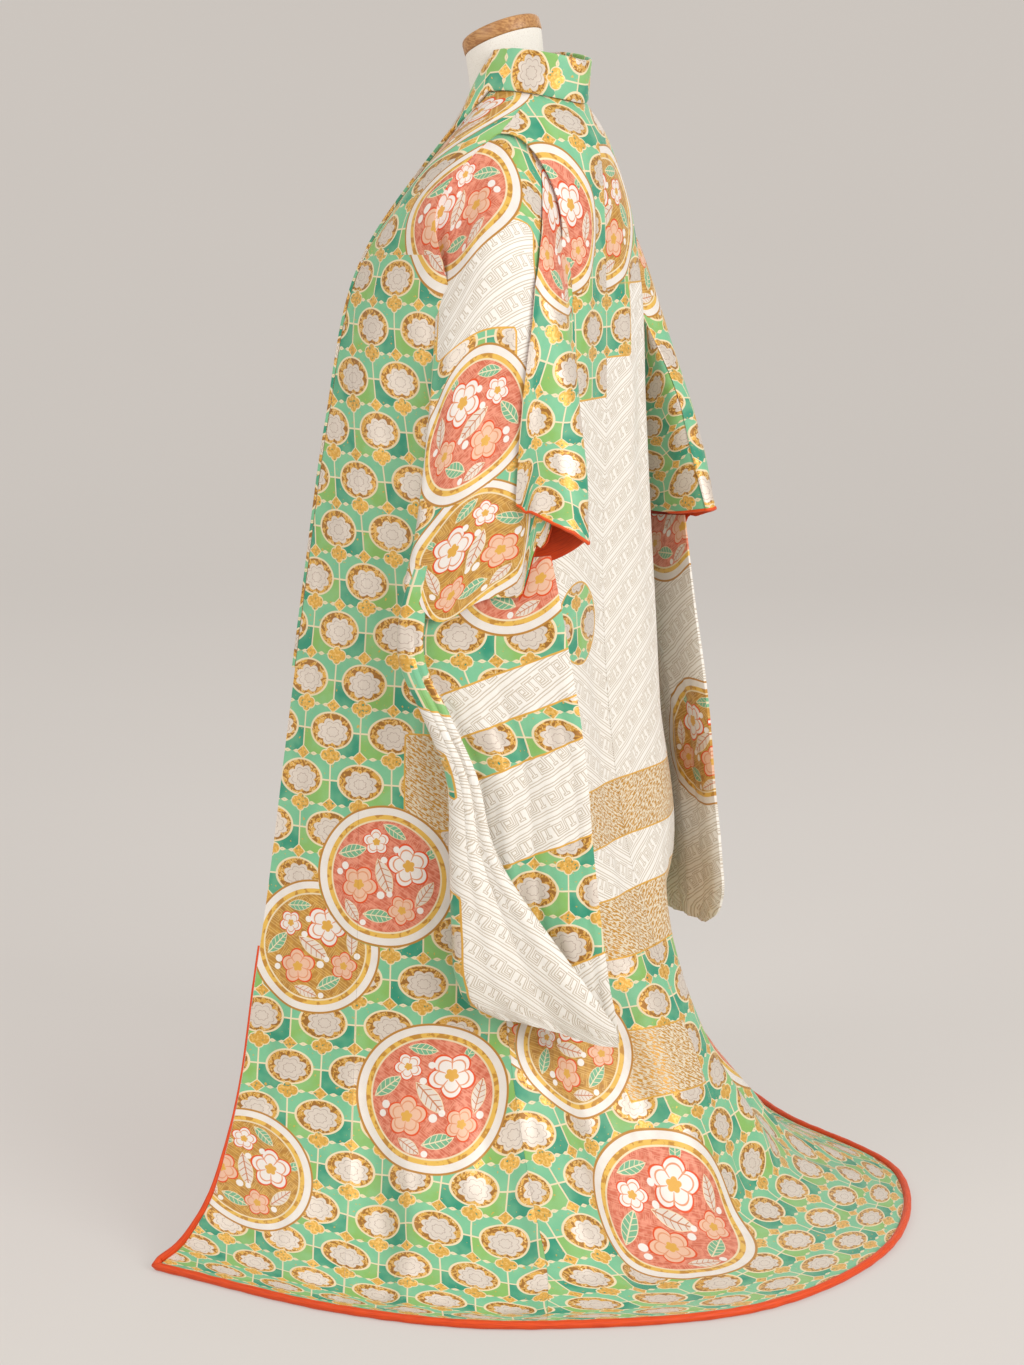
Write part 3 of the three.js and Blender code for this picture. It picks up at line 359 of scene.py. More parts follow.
def armhole_rim(side, turns, lift):
    """Points round the armhole's edge, `lift` mm out of the robe's face."""
    middle = (ARMHOLE["top"] + ARMHOLE["foot"]) / 2
    half = (ARMHOLE["foot"] - ARMHOLE["top"]) / 2 + ARMHOLE["below"]
    points = []
    for angle in turns * FULL_TURN:
        down = middle - half * math.sin(angle)
        reach = ARMHOLE["to_front"] if math.cos(angle) > 0 else ARMHOLE["to_back"]
        place = SIDE_SEAM + (reach + ARMHOLE["lap"]) * math.cos(angle)
        h = NUDGE
        here = robe(side, place, down)[0]
        across = robe(side, [place + h, place - h], down)
        below = robe(side, place, down + h * HEM)[0] - robe(side, place, down - h * HEM)[0]
        points.append(here + unit(np.cross(below, across[0] - across[1])) * lift)
    return np.array(points)


def sleeve_ring(side, row, turns):
    r = dict(zip(SLEEVE_NAMES, row))
    angle = turns * FULL_TURN
    degrees = turns * 360

    def bump(at, wide):
        return np.exp(-(((degrees - at) / wide) ** 2))

    at_edges = np.cos(angle) ** 2
    front = np.cos(angle) > 0
    ridge, valley = bump(PLEAT["ridge"], PLEAT["wide"]), bump(PLEAT["valley"], PLEAT["wide"])
    pleat = r["pleat"] * (0.35 * ridge - 0.8 * valley)
    across = r["back"] + (r["front"] - r["back"]) * (squash(np.cos(angle), 0.8) + 1) / 2
    centre = (r["near"] + r["far"]) / 2
    edge_out = np.where(front, r["front_out"], r["back_out"])
    faces_out = squash(np.sin(angle), 0.7) * (r["near"] - r["far"]) / 2
    out = centre + (edge_out - centre) * at_edges + faces_out + pleat
    faces = r["far_z"] + (r["near_z"] - r["far_z"]) * (np.sin(angle) + 1) / 2
    mouth = smooth(degrees, MOUTH["start"], MOUTH["open"]) * (1 - smooth(degrees, MOUTH["open"], MOUTH["back"]))
    edge_z = np.where(front, r["front_z"], r["back_z"])
    height = faces + (edge_z - faces) * at_edges + r["mouth"] * mouth - r["dip"] * bump(DIP["at"], DIP["wide"])
    return placed(across + SLEEVE_SHIFT[side], out, height)


def sleeve_grid(side, turns, runs):
    """The upper sleeve's outer face on the left: rows down the sleeve, columns round it."""
    lift = SEAM_GAP + CLOTH + RIM_EASE
    rings = [sleeve_ring(side, row, turns) for row in SLEEVE_RINGS[side]]
    rim = armhole_rim(side, turns, lift)
    start = armhole_rim(side, turns, lift + 4)
    start = start + (rings[0] - start) * 0.2
    knots = [0, 0.07] + [row[0] for row in SLEEVE_RINGS[side]]
    return spline(knots, [rim, start, *rings], runs)


def bag_places(side, z):
    table = np.array(BAG_LEVELS[side], float)[::-1]
    return dict(zip(BAG_NAMES[1:], spline(table[:, 0], table[:, 1:], z)[0]))


def bag_path(side, z, way):
    """The bag's middle line at a level: way 0 is the near arm's tip, 1 the far arm's end."""
    r = bag_places(side, z)
    half = r["apart"] / 2
    way = np.clip(way, 0, 1)
    angle = np.pi * np.clip((way - NEAR_SHARE) / BEND_SHARE, 0, 1)
    share = np.clip((way - NEAR_SHARE - BEND_SHARE) / (1 - NEAR_SHARE - BEND_SHARE), 0, 1)
    near = way < NEAR_SHARE
    far = way > NEAR_SHARE + BEND_SHARE
    across = np.where(near, r["tip"] + (r["fold"] + half - r["tip"]) * way / NEAR_SHARE,
                      np.where(far, r["fold"] + half + (r["back"] - r["fold"] - half) * share,
                               r["fold"] + half - half * np.sin(angle)))
    out = np.where(near, r["out"] + r["apart"],
                   np.where(far, r["out"], r["out"] + half + half * np.cos(angle)))
    low = smooth(across, r["fold"], 145)
    return placed(across + SLEEVE_SHIFT[side], out, z - r["drop"] * low), r["thick"]


# ---- Meshes ----
def unit_normals(grid, closed=False):
    """Outward unit normals of a grid seen with its columns running to the back on the left half."""
    if closed:
        across = np.roll(grid, -1, 1) - np.roll(grid, 1, 1)
    else:
        across = np.gradient(grid, axis=1)
    return unit(np.cross(across, np.gradient(grid, axis=0)))


def make_mesh(name, points, faces, materials, kinds=None, flat=None, zones=None):
    """An object from points in mm. `flat` and `zones` hold a pair of numbers for each corner of each face."""
    mesh = bpy.data.meshes.new(name)
    mesh.from_pydata((np.asarray(points) * MM).tolist(), [], [list(map(int, f)) for f in faces])
    for material in materials:
        mesh.materials.append(material)
    if kinds is not None:
        mesh.polygons.foreach_set("material_index", np.asarray(kinds, np.int32))
    for layer, pairs in (("flat", flat), ("zones", zones)):
        if pairs is not None:
            mesh.uv_layers.new(name=layer).data.foreach_set("uv", np.asarray(pairs, np.float32).ravel())
    mesh.polygons.foreach_set("use_smooth", np.ones(len(mesh.polygons), bool))
    mesh.validate()
    mesh.set_sharp_from_angle(angle=math.radians(SHARP))
    mesh.update()
    obj = bpy.data.objects.new(name, mesh)
    bpy.context.collection.objects.link(obj)
    return obj


def grid_faces(rows, columns, closed=False):
    """Corner numbers (row, column) of each quad, as seen with rows going down and columns to the left."""
    last = columns if closed else columns - 1
    r, c = np.meshgrid(np.arange(rows - 1), np.arange(last), indexing="ij")
    r, c = r.ravel(), c.ravel()
    return np.stack([np.stack([r, c], -1), np.stack([r, c + 1], -1),
                     np.stack([r + 1, c + 1], -1), np.stack([r + 1, c], -1)], 1)


def capped_faces(rows, sides):
    """A closed tube's quads, as places and as corner numbers, and its two flat ends."""
    places = grid_faces(rows, sides, True)
    corners = places[..., 0] * sides + places[..., 1] % sides
    ends = [list(range(sides))[::-1], [(rows - 1) * sides + k for k in range(sides)]]
    return places, corners, ends


def shell(name, outer, thick, flat, materials, zones=None, closed=False, flip=False, same_rows=0):
    """A closed cloth shell behind the outer grid: its face is materials[0], its back materials[1].

    The back of the first `same_rows` rows has the face's material. `flat` holds each outer point's place on
    the cloth in mm. A closed grid has one more column of these."""
    rows, columns = outer.shape[:2]
    inner = outer - unit_normals(outer, closed) * thick
    points = np.concatenate([outer.reshape(-1, 3), inner.reshape(-1, 3)])
    places = grid_faces(rows, columns, closed)
    corners = places[..., 0] * columns + places[..., 1] % columns
    flat_columns = flat.shape[1]
    flat_at = places[..., 0] * flat_columns + places[..., 1]
    faces = [corners, corners[:, ::-1] + rows * columns]
    pairs = [flat_at, flat_at[:, ::-1]]
    kinds = [np.zeros(len(corners), int), (places[:, 0, 0] >= same_rows).astype(int)]
    shift = rows * columns

    def border(a, b, fa, fb):
        faces.append(np.stack([b, a, a + shift, b + shift], -1))
        pairs.append(np.stack([fb, fa, fa, fb], -1))
        kinds.append(np.full(len(a), 0))

    c = np.arange(columns if closed else columns - 1)
    foot = (rows - 1) * columns
    border(c, (c + 1) % columns, c, c + 1)
    border(foot + (c + 1) % columns, foot + c, (rows - 1) * flat_columns + c + 1, (rows - 1) * flat_columns + c)
    if not closed:
        r = np.arange(rows - 1) * columns
        border(r + columns, r, r + columns, r)
        border(r + columns - 1, r + 2 * columns - 1, r + columns - 1, r + 2 * columns - 1)
    faces, pairs, kinds = np.concatenate(faces), np.concatenate(pairs), np.concatenate(kinds)
    if flip:
        points = mirrored(points)
        faces, pairs = faces[:, ::-1], pairs[:, ::-1]
    flat_pairs = (flat.reshape(-1, 2) * MM)[pairs].reshape(-1, 2)
    zone_pairs = None if zones is None else (zones.reshape(-1, 2) * MM)[pairs].reshape(-1, 2)
    return make_mesh(name, points, faces, materials, kinds, flat_pairs, zone_pairs)


def tube(name, path, radii, material, sides=14, flip=False, wrinkle=0.0):
    """A round tube along points in mm, with flat ends."""
    path = np.asarray(path, float)
    along = unit(np.gradient(path, axis=0))
    up = np.array([0.0, 0.0, 1.0])
    run = run_along(path)
    rings = []
    turns = np.arange(sides) / sides * FULL_TURN
    for centre, forward, radius, at in zip(path, along, radii, run):
        right = unit(np.cross(forward, up))
        up = unit(np.cross(right, forward))
        ripple = 1 + wrinkle * (np.sin(at / 9.0 + 2 * np.sin(at / 41.0)) + 0.6 * np.sin(at / 5.1 + turns))
        size = (radius * ripple)[:, None] if wrinkle else radius
        rings.append(centre + size * (np.cos(turns)[:, None] * right + np.sin(turns)[:, None] * up))
    grid = np.array(rings)
    places, corners, caps = capped_faces(len(grid), sides)
    faces = [list(f) for f in corners] + caps
    flat_at = np.array([[run[r], c * FULL_TURN * radii[0] / sides] for r, c in places.reshape(-1, 2)]) * MM
    ends = np.zeros((2 * sides, 2))
    points = grid.reshape(-1, 3)
    pairs = np.concatenate([flat_at, ends])
    if flip:
        points = mirrored(points)
        faces = [f[::-1] for f in faces]
        pairs = np.concatenate([flat_at.reshape(-1, 4, 2)[:, ::-1].reshape(-1, 2), ends])
    return make_mesh(name, points, faces, [material], flat=pairs)


def stack(name, rings, material):
    """Closed rings from the bottom up, as one solid."""
    grid = np.array(rings)
    rows, sides = grid.shape[:2]
    places, corners, caps = capped_faces(rows, sides)
    faces = [list(f) for f in corners[:, ::-1]] + caps
    girth = np.linalg.norm(np.diff(grid[0], axis=0, append=grid[:1, 0]), axis=1).sum()
    flat_at = np.array([[c * girth / sides, grid[r, 0, 2]] for r, c in places[:, ::-1].reshape(-1, 2)]) * MM
    ends = np.concatenate([grid[0, ::-1, :2], grid[-1, :, :2]]) * MM
    return make_mesh(name, grid.reshape(-1, 3), faces, [material], flat=np.concatenate([flat_at, ends]))


# ---- Materials ----
def colour(red, green, blue):
    """A colour given as it looks on a screen, 0 to 255."""
    shares = (c / 255 for c in (red, green, blue))
    return (*(((c + 0.055) / 1.055) ** 2.4 if c > 10 / 255 else c / 12.92 for c in shares), 1.0)


CREAM = colour(238, 220, 182)
IVORY = colour(250, 246, 238)
FRET_LINE = colour(192, 175, 150)
MINT = colour(120, 192, 148)
TEAL = colour(44, 148, 116)
LEAF = colour(136, 186, 96)
GOLD = colour(224, 170, 72)
BROWN = colour(166, 114, 50)
PALE = colour(228, 216, 202)
SALMON = colour(208, 106, 76)
ORANGE = colour(226, 76, 4)


class Graph:
    """A material's nodes, made one by one. Every method returns the new node's output socket."""

    def __init__(self, name, roughness=0.5, sheen=0.0, specular=0.4):
        self.material = bpy.data.materials.new(name)
        self.material.use_nodes = True
        self.nodes = self.material.node_tree.nodes
        self.links = self.material.node_tree.links
        self.shader = self.nodes["Principled BSDF"]
        self.shader.inputs["Roughness"].default_value = roughness
        self.shader.inputs["Sheen Weight"].default_value = sheen
        self.shader.inputs["Sheen Roughness"].default_value = 0.4
        self.shader.inputs["Specular IOR Level"].default_value = specular

    def put(self, socket, value):
        if isinstance(value, bpy.types.NodeSocket):
            self.links.new(value, socket)
        elif value is not None:
            socket.default_value = value

    def layer(self, name):
        node = self.nodes.new("ShaderNodeUVMap")
        node.uv_map = name
        return node.outputs[0]

    def math(self, way, *values, clamp=False):
        node = self.nodes.new("ShaderNodeMath")
        node.operation = way
        node.use_clamp = clamp
        for socket, value in zip(node.inputs, values):
            self.put(socket, value)
        return node.outputs[0]

    def plus(self, a, b):
        return self.math("ADD", a, b)

    def minus(self, a, b):
        return self.math("SUBTRACT", a, b)

    def times(self, a, b):
        return self.math("MULTIPLY", a, b)

    def over(self, a, b):
        return self.math("DIVIDE", a, b)

    def abs(self, a):
        return self.math("ABSOLUTE", a)

    def least(self, a, b):
        return self.math("MINIMUM", a, b)

    def most(self, a, b):
        return self.math("MAXIMUM", a, b)

    def times_plus(self, a, b, c):
        return self.math("MULTIPLY_ADD", a, b, c)

    def vector(self, way, *values, out=0):
        node = self.nodes.new("ShaderNodeVectorMath")
        node.operation = way
        for socket, value in zip(node.inputs, values):
            self.put(socket, value)
        return node.outputs[out]

    def scale(self, value, by):
        return self.vector("SCALE", value, None, None, by)

    def length(self, value):
        return self.vector("LENGTH", value, out="Value")

    def split(self, value):
        node = self.nodes.new("ShaderNodeSeparateXYZ")
        self.put(node.inputs[0], value)
        return node.outputs[0], node.outputs[1]

    def join(self, x, y):
        node = self.nodes.new("ShaderNodeCombineXYZ")
        self.put(node.inputs[0], x)
        self.put(node.inputs[1], y)
        return node.outputs[0]

    def step(self, value, low, high):
        """0 below `low` and 1 above `high`; high may be the lower one."""
        node = self.nodes.new("ShaderNodeMapRange")
        node.interpolation_type = "SMOOTHSTEP"
        self.put(node.inputs["Value"], value)
        ends = (low, high, 0.0, 1.0) if low < high else (high, low, 1.0, 0.0)
        for name, end in zip(("From Min", "From Max", "To Min", "To Max"), ends):
            node.inputs[name].default_value = end
        return node.outputs[0]

    def mix(self, factor, a, b, kind="RGBA"):
        node = self.nodes.new("ShaderNodeMix")
        node.data_type = kind
        picked = {"FLOAT": (0, 2, 3, 0), "VECTOR": (0, 4, 5, 1), "RGBA": (0, 6, 7, 2)}[kind]
        for k, value in zip(picked, (factor, a, b)):
            self.put(node.inputs[k], value)
        return node.outputs[picked[3]]

    def noise(self, at, scale, detail=2.0, distortion=0.0, out="Fac"):
        node = self.nodes.new("ShaderNodeTexNoise")
        self.put(node.inputs["Vector"], at)
        for name, value in (("Scale", scale), ("Detail", detail), ("Distortion", distortion)):
            node.inputs[name].default_value = value
        return node.outputs[out]

    def turned(self, at, place=(0, 0), turn=0.0, size=(1, 1)):
        """Coordinates in a frame at `place`, turned by some degrees, in units of `size`."""
        node = self.nodes.new("ShaderNodeMapping")
        node.vector_type = "TEXTURE"
        self.put(node.inputs["Vector"], at)
        node.inputs["Location"].default_value = (*place, 0)
        node.inputs["Rotation"].default_value = (0, 0, math.radians(turn))
        node.inputs["Scale"].default_value = (*size, 1)
        return node.outputs[0]

    def pick(self, at, places):
        """Coordinates in the last of the places (x, y, turn, half width, half length, kind) that holds the
        point, how far out of it the point is (1 at its edge), and that place's kind."""
        here, kind = (3.0, 3.0, 0.0), 0.0
        for x, y, turn, wide, long, what in places:
            local = self.turned(at, (x, y), turn, (wide, long))
            inside = self.math("LESS_THAN", self.length(local), 1.0)
            here = self.mix(inside, here, local, "VECTOR")
            kind = self.mix(inside, kind, float(what), "FLOAT")
        return here, self.length(here), kind

    def boxes(self, x, y, rows):
        """The least distance to a set of boxes (middle x, middle y, half width, half height)."""
        nearest = None
        for mx, my, wide, high in rows:
            dx = self.minus(self.abs(self.minus(x, mx)), wide)
            dy = self.minus(self.abs(self.minus(y, my)), high)
            here = self.most(dx, dy)
            nearest = here if nearest is None else self.least(nearest, here)
        return nearest

    def finish(self, base, height=None, strength=0.4, distance=0.0006, metallic=None, roughness=None):
        self.put(self.shader.inputs["Base Color"], base)
        self.put(self.shader.inputs["Metallic"], metallic)
        self.put(self.shader.inputs["Roughness"], roughness)
        if height is not None:
            bump = self.nodes.new("ShaderNodeBump")
            bump.inputs["Strength"].default_value = strength
            bump.inputs["Distance"].default_value = distance
            self.put(bump.inputs["Height"], height)
            self.links.new(bump.outputs[0], self.shader.inputs["Normal"])
        return self.material


def weave(g, at, pitch):
    """A fine twill, 0 to 1, with threads `pitch` mm apart."""
    x, y = g.split(at)
    diagonal = g.plus(g.times(x, WAVE_TURN / pitch), g.times(y, WAVE_TURN / pitch))
    across = g.math("SINE", g.times(x, WAVE_TURN / (pitch * 0.71)))
    return g.times_plus(g.math("SINE", diagonal), 0.3, g.times_plus(across, 0.2, 0.5))


LATTICE = dict(pitch=90.0, row=66.0, oval=(34.5, 25.0), border=2.2, line=1.1)


def lattice(g, at):
    """The green lattice of ovals, quatrefoils and lozenges. It returns the colour, relief and gold mask."""
    pitch, row = LATTICE["pitch"], LATTICE["row"]
    wide, high = LATTICE["oval"]
    x, y = g.split(at)
    rows = g.over(y, row)
    level = g.math("FLOOR", rows)
    odd = g.math("MODULO", g.plus(level, 200.0), 2.0)
    columns = g.times_plus(odd, 0.5, g.over(x, pitch))
    dx = g.times(g.minus(g.math("FRACT", columns), 0.5), pitch)
    dy = g.times(g.minus(g.minus(rows, level), 0.5), row)
    side = g.abs(dx)
    low = g.math("GREATER_THAN", dy, 0.0)
    from_line = g.minus(row / 2, g.abs(dy))
    from_gap = g.minus(pitch / 2, side)
    quatre = g.mix(low, from_gap, side, "FLOAT")
    lozenge = g.mix(low, side, from_gap, "FLOAT")
    right = g.math("GREATER_THAN", dx, 0.0)
    which = g.abs(g.minus(right, odd))

    fleck = g.noise(at, 0.16, 3.0)
    tone = g.noise(at, 0.03, 2.0)
    lower = g.mix(which, TEAL, LEAF)
    ground = g.mix(low, MINT, lower)
    ground = g.mix(g.times(g.step(tone, 0.35, 0.7), 0.35), ground, colour(150, 210, 160))
    gold_fleck = g.times(g.step(fleck, 0.665, 0.69), 0.85)
    ground = g.mix(gold_fleck, ground, GOLD)

    # The oval: a cream border, brown and gold scrolls and a pale lobed blossom.
    e = g.length(g.join(g.over(dx, wide), g.over(dy, high)))
    scroll = g.noise(at, 0.13, 1.5, 1.4)
    fill = g.mix(g.step(scroll, 0.44, 0.52), BROWN, GOLD)
    fill = g.mix(g.step(g.abs(g.minus(scroll, 0.57)), 0.016, 0.006), fill, CREAM)
    bx, by = g.over(g.plus(dx, 1.5), 25.0), g.over(g.minus(dy, 1.5), 18.5)
    angle = g.math("ARCTAN2", by, bx)
    lobes = g.times_plus(g.abs(g.math("SINE", g.times(angle, 4.0))), 0.22, 0.78)
    blossom = g.over(g.length(g.join(bx, by)), lobes)
    petal = g.mix(g.step(g.math("FRACT", g.times(blossom, 2.6)), 0.86, 0.97), PALE, colour(176, 152, 138))
    fill = g.mix(g.step(blossom, 1.0, 0.96), fill, petal)
    border = 1 - LATTICE["border"] / high
    oval = g.mix(g.step(e, border - 0.02, border + 0.01), fill, CREAM)

    # The lines, quatrefoils and lozenges between the ovals.
    wave = g.times(g.math("SINE", g.times(x, WAVE_TURN / 15)), 1.3)
    line = g.least(g.abs(g.plus(from_line, wave)),
                  g.least(from_gap, g.abs(dy)))
    cream = g.step(line, LATTICE["line"] + 0.3, LATTICE["line"] - 0.3)
    base = g.mix(cream, ground, CREAM)
    base = g.mix(g.step(e, 1.01, 0.99), base, oval)
    ends = g.minus(g.length(g.join(g.minus(quatre, 7.5), from_line)), 7.0)
    tops = g.minus(g.length(g.join(quatre, g.minus(from_line, 5.5))), 6.2)
    foil = g.least(ends, tops)
    diamond = g.minus(g.plus(g.over(lozenge, 10.5), g.over(from_line, 9.0)), 1.0)
    knot = g.least(foil, g.times(diamond, 8.0))
    speck = g.noise(at, 0.26, 1.0)
    metal = g.mix(g.step(speck, 0.5, 0.6), GOLD, colour(240, 196, 110))
    metal = g.mix(g.step(speck, 0.36, 0.32), metal, colour(70, 150, 120))
    base = g.mix(g.step(knot, 1.0, 0.6), base, CREAM)
    base = g.mix(g.step(knot, -0.4, -0.8), base, metal)
    relief = g.most(cream, g.step(e, 1.02, 0.95))
    relief = g.most(relief, g.step(knot, 1.0, -1.0))
    gold = g.most(g.step(knot, -0.4, -0.8), g.step(e, border + 0.01, border - 0.02))
    return base, relief, g.most(gold, gold_fleck)


FRET = dict(turn=-31.0, size=1.3, repeat=26.0, band=30.0, unit=2.0, line=0.36, bars=22.5, bar_ways=(2.6, 5.4))
KEY = [  # one repeat of the running key, in units: middle x, middle y, half width, half height
    (0.7, 4.2, 0.5, 3.0), (3.5, 6.7, 3.3, 0.5), (6.3, 3.7, 0.5, 3.5), (2.4, 1.7, 2.2, 0.5),
    (4.1, 3.2, 0.5, 2.0), (3.2, 4.7, 1.4, 0.5), (9.6, 0.7, 3.8, 0.5), (9.6, 6.0, 1.3, 0.5), (9.6, 3.9, 0.5, 2.6),
]


def fret(g, at, ground=IVORY, line=FRET_LINE):
    """Diagonal bands of a running key between long straight lines, outlined in the weave."""
    x, y = g.split(g.turned(at, turn=FRET["turn"], size=(FRET["size"], FRET["size"])))
    band = g.math("FLOOR", g.over(y, FRET["band"]))
    shifted = g.times_plus(band, 9.0, x)
    along = g.times(g.math("FRACT", g.over(shifted, FRET["repeat"])), FRET["repeat"])
    fx = g.over(along, FRET["unit"])
    within = g.times(g.minus(g.over(y, FRET["band"]), band), FRET["band"])
    fy = g.over(within, FRET["unit"])
    key = g.times(g.abs(g.boxes(fx, fy, KEY)), FRET["unit"])
    from_bars = g.abs(g.minus(within, FRET["bars"]))
    bars = g.least(*(g.abs(g.minus(from_bars, away)) for away in FRET["bar_ways"]))
    drawn = g.least(key, bars)
    mask = g.step(drawn, FRET["line"] + 0.45, FRET["line"] - 0.25)
    shade = g.noise(at, 0.02, 2.0)
    cloth = g.mix(g.times(shade, 0.35), ground, colour(222, 212, 198))
    return g.mix(g.times(mask, 0.8), cloth, line), g.minus(1.0, mask)


def speckled(g, at):
    """Cream cloth with fine diagonal lines and rubbed gold foil."""
    x, y = g.split(g.turned(at, turn=-33.0))
    lines = g.math("FRACT", g.over(y, 5.2))
    foil = g.noise(g.turned(at, turn=-33.0, size=(2.6, 1.0)), 0.42, 3.0)
    mask = g.times(g.step(foil, 0.46, 0.52), g.step(lines, 0.12, 0.2))
    return g.mix(mask, colour(232, 218, 190), colour(206, 150, 62)), mask


MOTIF_SHARE = 0.83  # of a medallion's radius, for the motifs inside its ring
# Motifs of a medallion, in shares of that: x, y, turn, half width, half length, kind.
BLOSSOMS = [
    (-0.34, -0.30, 10, 0.40, 0.40, 0), (0.40, 0.26, 40, 0.34, 0.34, 1), (0.30, -0.52, 0, 0.24, 0.24, 0),
    (-0.42, 0.46, 25, 0.27, 0.27, 1),
]
LEAVES = [
    (0.02, 0.02, 35, 0.15, 0.34, 0), (0.66, -0.24, 120, 0.13, 0.28, 1), (-0.05, 0.68, 100, 0.13, 0.26, 1),
    (-0.72, 0.08, 160, 0.12, 0.27, 0), (0.04, -0.78, 75, 0.11, 0.24, 1), (0.40, 0.72, 50, 0.11, 0.22, 0),
    (-0.66, -0.62, 140, 0.09, 0.2, 1),
]
BUDS = [
    (0.72, 0.04, 0, 0.07, 0.07, 0), (0.79, 0.17, 0, 0.06, 0.06, 0), (0.0, 0.33, 0, 0.07, 0.07, 0),
    (-0.14, 0.27, 0, 0.055, 0.055, 0), (-0.06, -0.5, 0, 0.06, 0.06, 0), (0.1, -0.26, 0, 0.06, 0.06, 0),
    (-0.72, 0.36, 0, 0.06, 0.06, 0), (0.16, 0.86, 0, 0.055, 0.055, 0),
]


def medallion(g, here, out, kind, at, lines):
    """A round medal of blossoms and leaves. Kind 0 has a salmon ground and kind 1 a gold one."""
    grain = g.noise(at, 0.12, 2.0)
    salmon = g.mix(g.step(grain, 0.4, 0.65), SALMON, colour(232, 146, 118))
    gold = g.mix(g.step(grain, 0.25, 0.75), colour(172, 118, 46), colour(208, 156, 66))
    base = g.mix(kind, salmon, gold)
    woven = g.times(g.minus(1.0, lines), 0.45)
    base = g.mix(woven, base, g.mix(kind, colour(240, 170, 140), colour(240, 204, 128)))
    here = g.scale(here, 1 / MOTIF_SHARE)
    local, r, what = g.pick(here, LEAVES)
    x, y = g.split(local)
    blade = g.plus(g.abs(x), g.times(g.times(y, y), 0.9))
    side_veins = g.math("FRACT", g.minus(g.times(y, 3.0), g.abs(x)))
    vein = g.least(g.abs(x), g.abs(g.minus(side_veins, 0.5)))
    green = g.mix(what, PALE, colour(120, 180, 140))
    leaf = g.mix(g.step(vein, 0.1, 0.05), green, g.mix(what, colour(200, 130, 90), CREAM))
    base = g.mix(g.step(blade, 0.92, 0.86), base, g.mix(g.step(blade, 0.78, 0.82), leaf, CREAM))
    local, r, what = g.pick(here, BLOSSOMS)
    x, y = g.split(local)
    angle = g.math("ARCTAN2", y, x)
    petals = g.abs(g.math("COSINE", g.times(angle, 2.5)))
    edge = g.over(r, g.times_plus(petals, 0.28, 0.7))
    fill = g.mix(what, colour(240, 232, 224), colour(236, 190, 160))
    between = g.times(g.step(petals, 0.2, 0.1), g.step(edge, 0.3, 0.36))
    fill = g.mix(g.most(between, g.step(g.abs(g.minus(edge, 0.7)), 0.05, 0.02)),
                 fill, colour(224, 150, 110))
    fill = g.mix(g.step(edge, 0.3, 0.26), fill, GOLD)
    fill = g.mix(g.step(edge, 0.88, 0.92), fill, ORANGE)
    blossom = g.step(edge, 1.0, 0.97)
    base = g.mix(blossom, base, fill)
    _, bud, _ = g.pick(here, BUDS)
    base = g.mix(g.step(bud, 1.0, 0.85), base, colour(242, 236, 228))
    leaf_foil = g.mix(g.step(g.noise(at, 0.09, 2.0), 0.42, 0.5), colour(196, 140, 52), colour(232, 186, 84))
    white = g.mix(g.noise(at, 0.05, 2.0), colour(244, 238, 230), colour(230, 222, 212))
    ring = g.mix(g.step(out, 0.862, 0.868), leaf_foil, white)
    ring = g.mix(g.step(out, 0.962, 0.968), ring, colour(188, 132, 52))
    ring = g.mix(g.step(g.abs(g.minus(out, 0.788)), 0.016, 0.01), ring, CREAM)
    base = g.mix(g.step(out, 0.775, 0.78), base, ring)
    relief = g.most(g.step(out, 0.78, 0.8), g.most(blossom, g.step(blade, 0.92, 0.8)))
    return base, relief


def brocade(name, medals):
    """The figured silk of one panel. `medals` places its medallions on the flat panel, in mm."""
    g = Graph(name, sheen=0.25)
    at = g.scale(g.layer("flat"), 1 / MM)
    zones = g.scale(g.layer("zones"), 1 / MM)
    ivory, foil = g.split(zones)
    base, relief, gold = lattice(g, at)
    pale, lines = fret(g, at)
    in_ivory = g.step(ivory, -0.5, 0.5)
    base = g.mix(in_ivory, base, pale)
    relief = g.mix(in_ivory, relief, lines, "FLOAT")
    gold = g.mix(in_ivory, gold, 0.0, "FLOAT")
    rubbed, flakes = speckled(g, at)
    in_foil = g.step(foil, -0.5, 0.5)
    base = g.mix(in_foil, base, rubbed)
    relief = g.mix(in_foil, relief, flakes, "FLOAT")
    gold = g.mix(in_foil, gold, flakes, "FLOAT")
    seam = g.most(g.step(g.abs(ivory), 1.5, 0.9), g.step(g.abs(foil), 1.5, 0.9))
    base = g.mix(seam, base, GOLD)
    if medals:
        here, out, kind = g.pick(at, medals)
        medal, high = medallion(g, here, out, kind, at, lines)
        inside = g.step(out, 1.0, 0.99)
        base = g.mix(inside, base, medal)
        relief = g.mix(inside, relief, high, "FLOAT")
        gold = g.mix(inside, gold, 0.3, "FLOAT")
    threads = weave(g, at, 1.3)
    # Painted shade: the cloth is darkened towards a dark brown in the hollows between the threads, where the
    # weave's bump is low.
    base = g.mix(g.times(g.minus(1.0, threads), 0.16), base, colour(60, 50, 40))
    height = g.times_plus(threads, 0.35, relief)
    crumple = g.noise(g.turned(at, turn=12.0, size=(1.0, 2.6)), 0.022, 2.0)
    height = g.times_plus(crumple, 14.0, height)
    worn = g.times_plus(g.noise(at, 0.05, 3.0), 0.2, 0.38)
    rough = g.minus(worn, g.times(gold, 0.1))
    return g.finish(base, height, 0.5, 0.0005, metallic=g.times(gold, 0.35), roughness=rough)


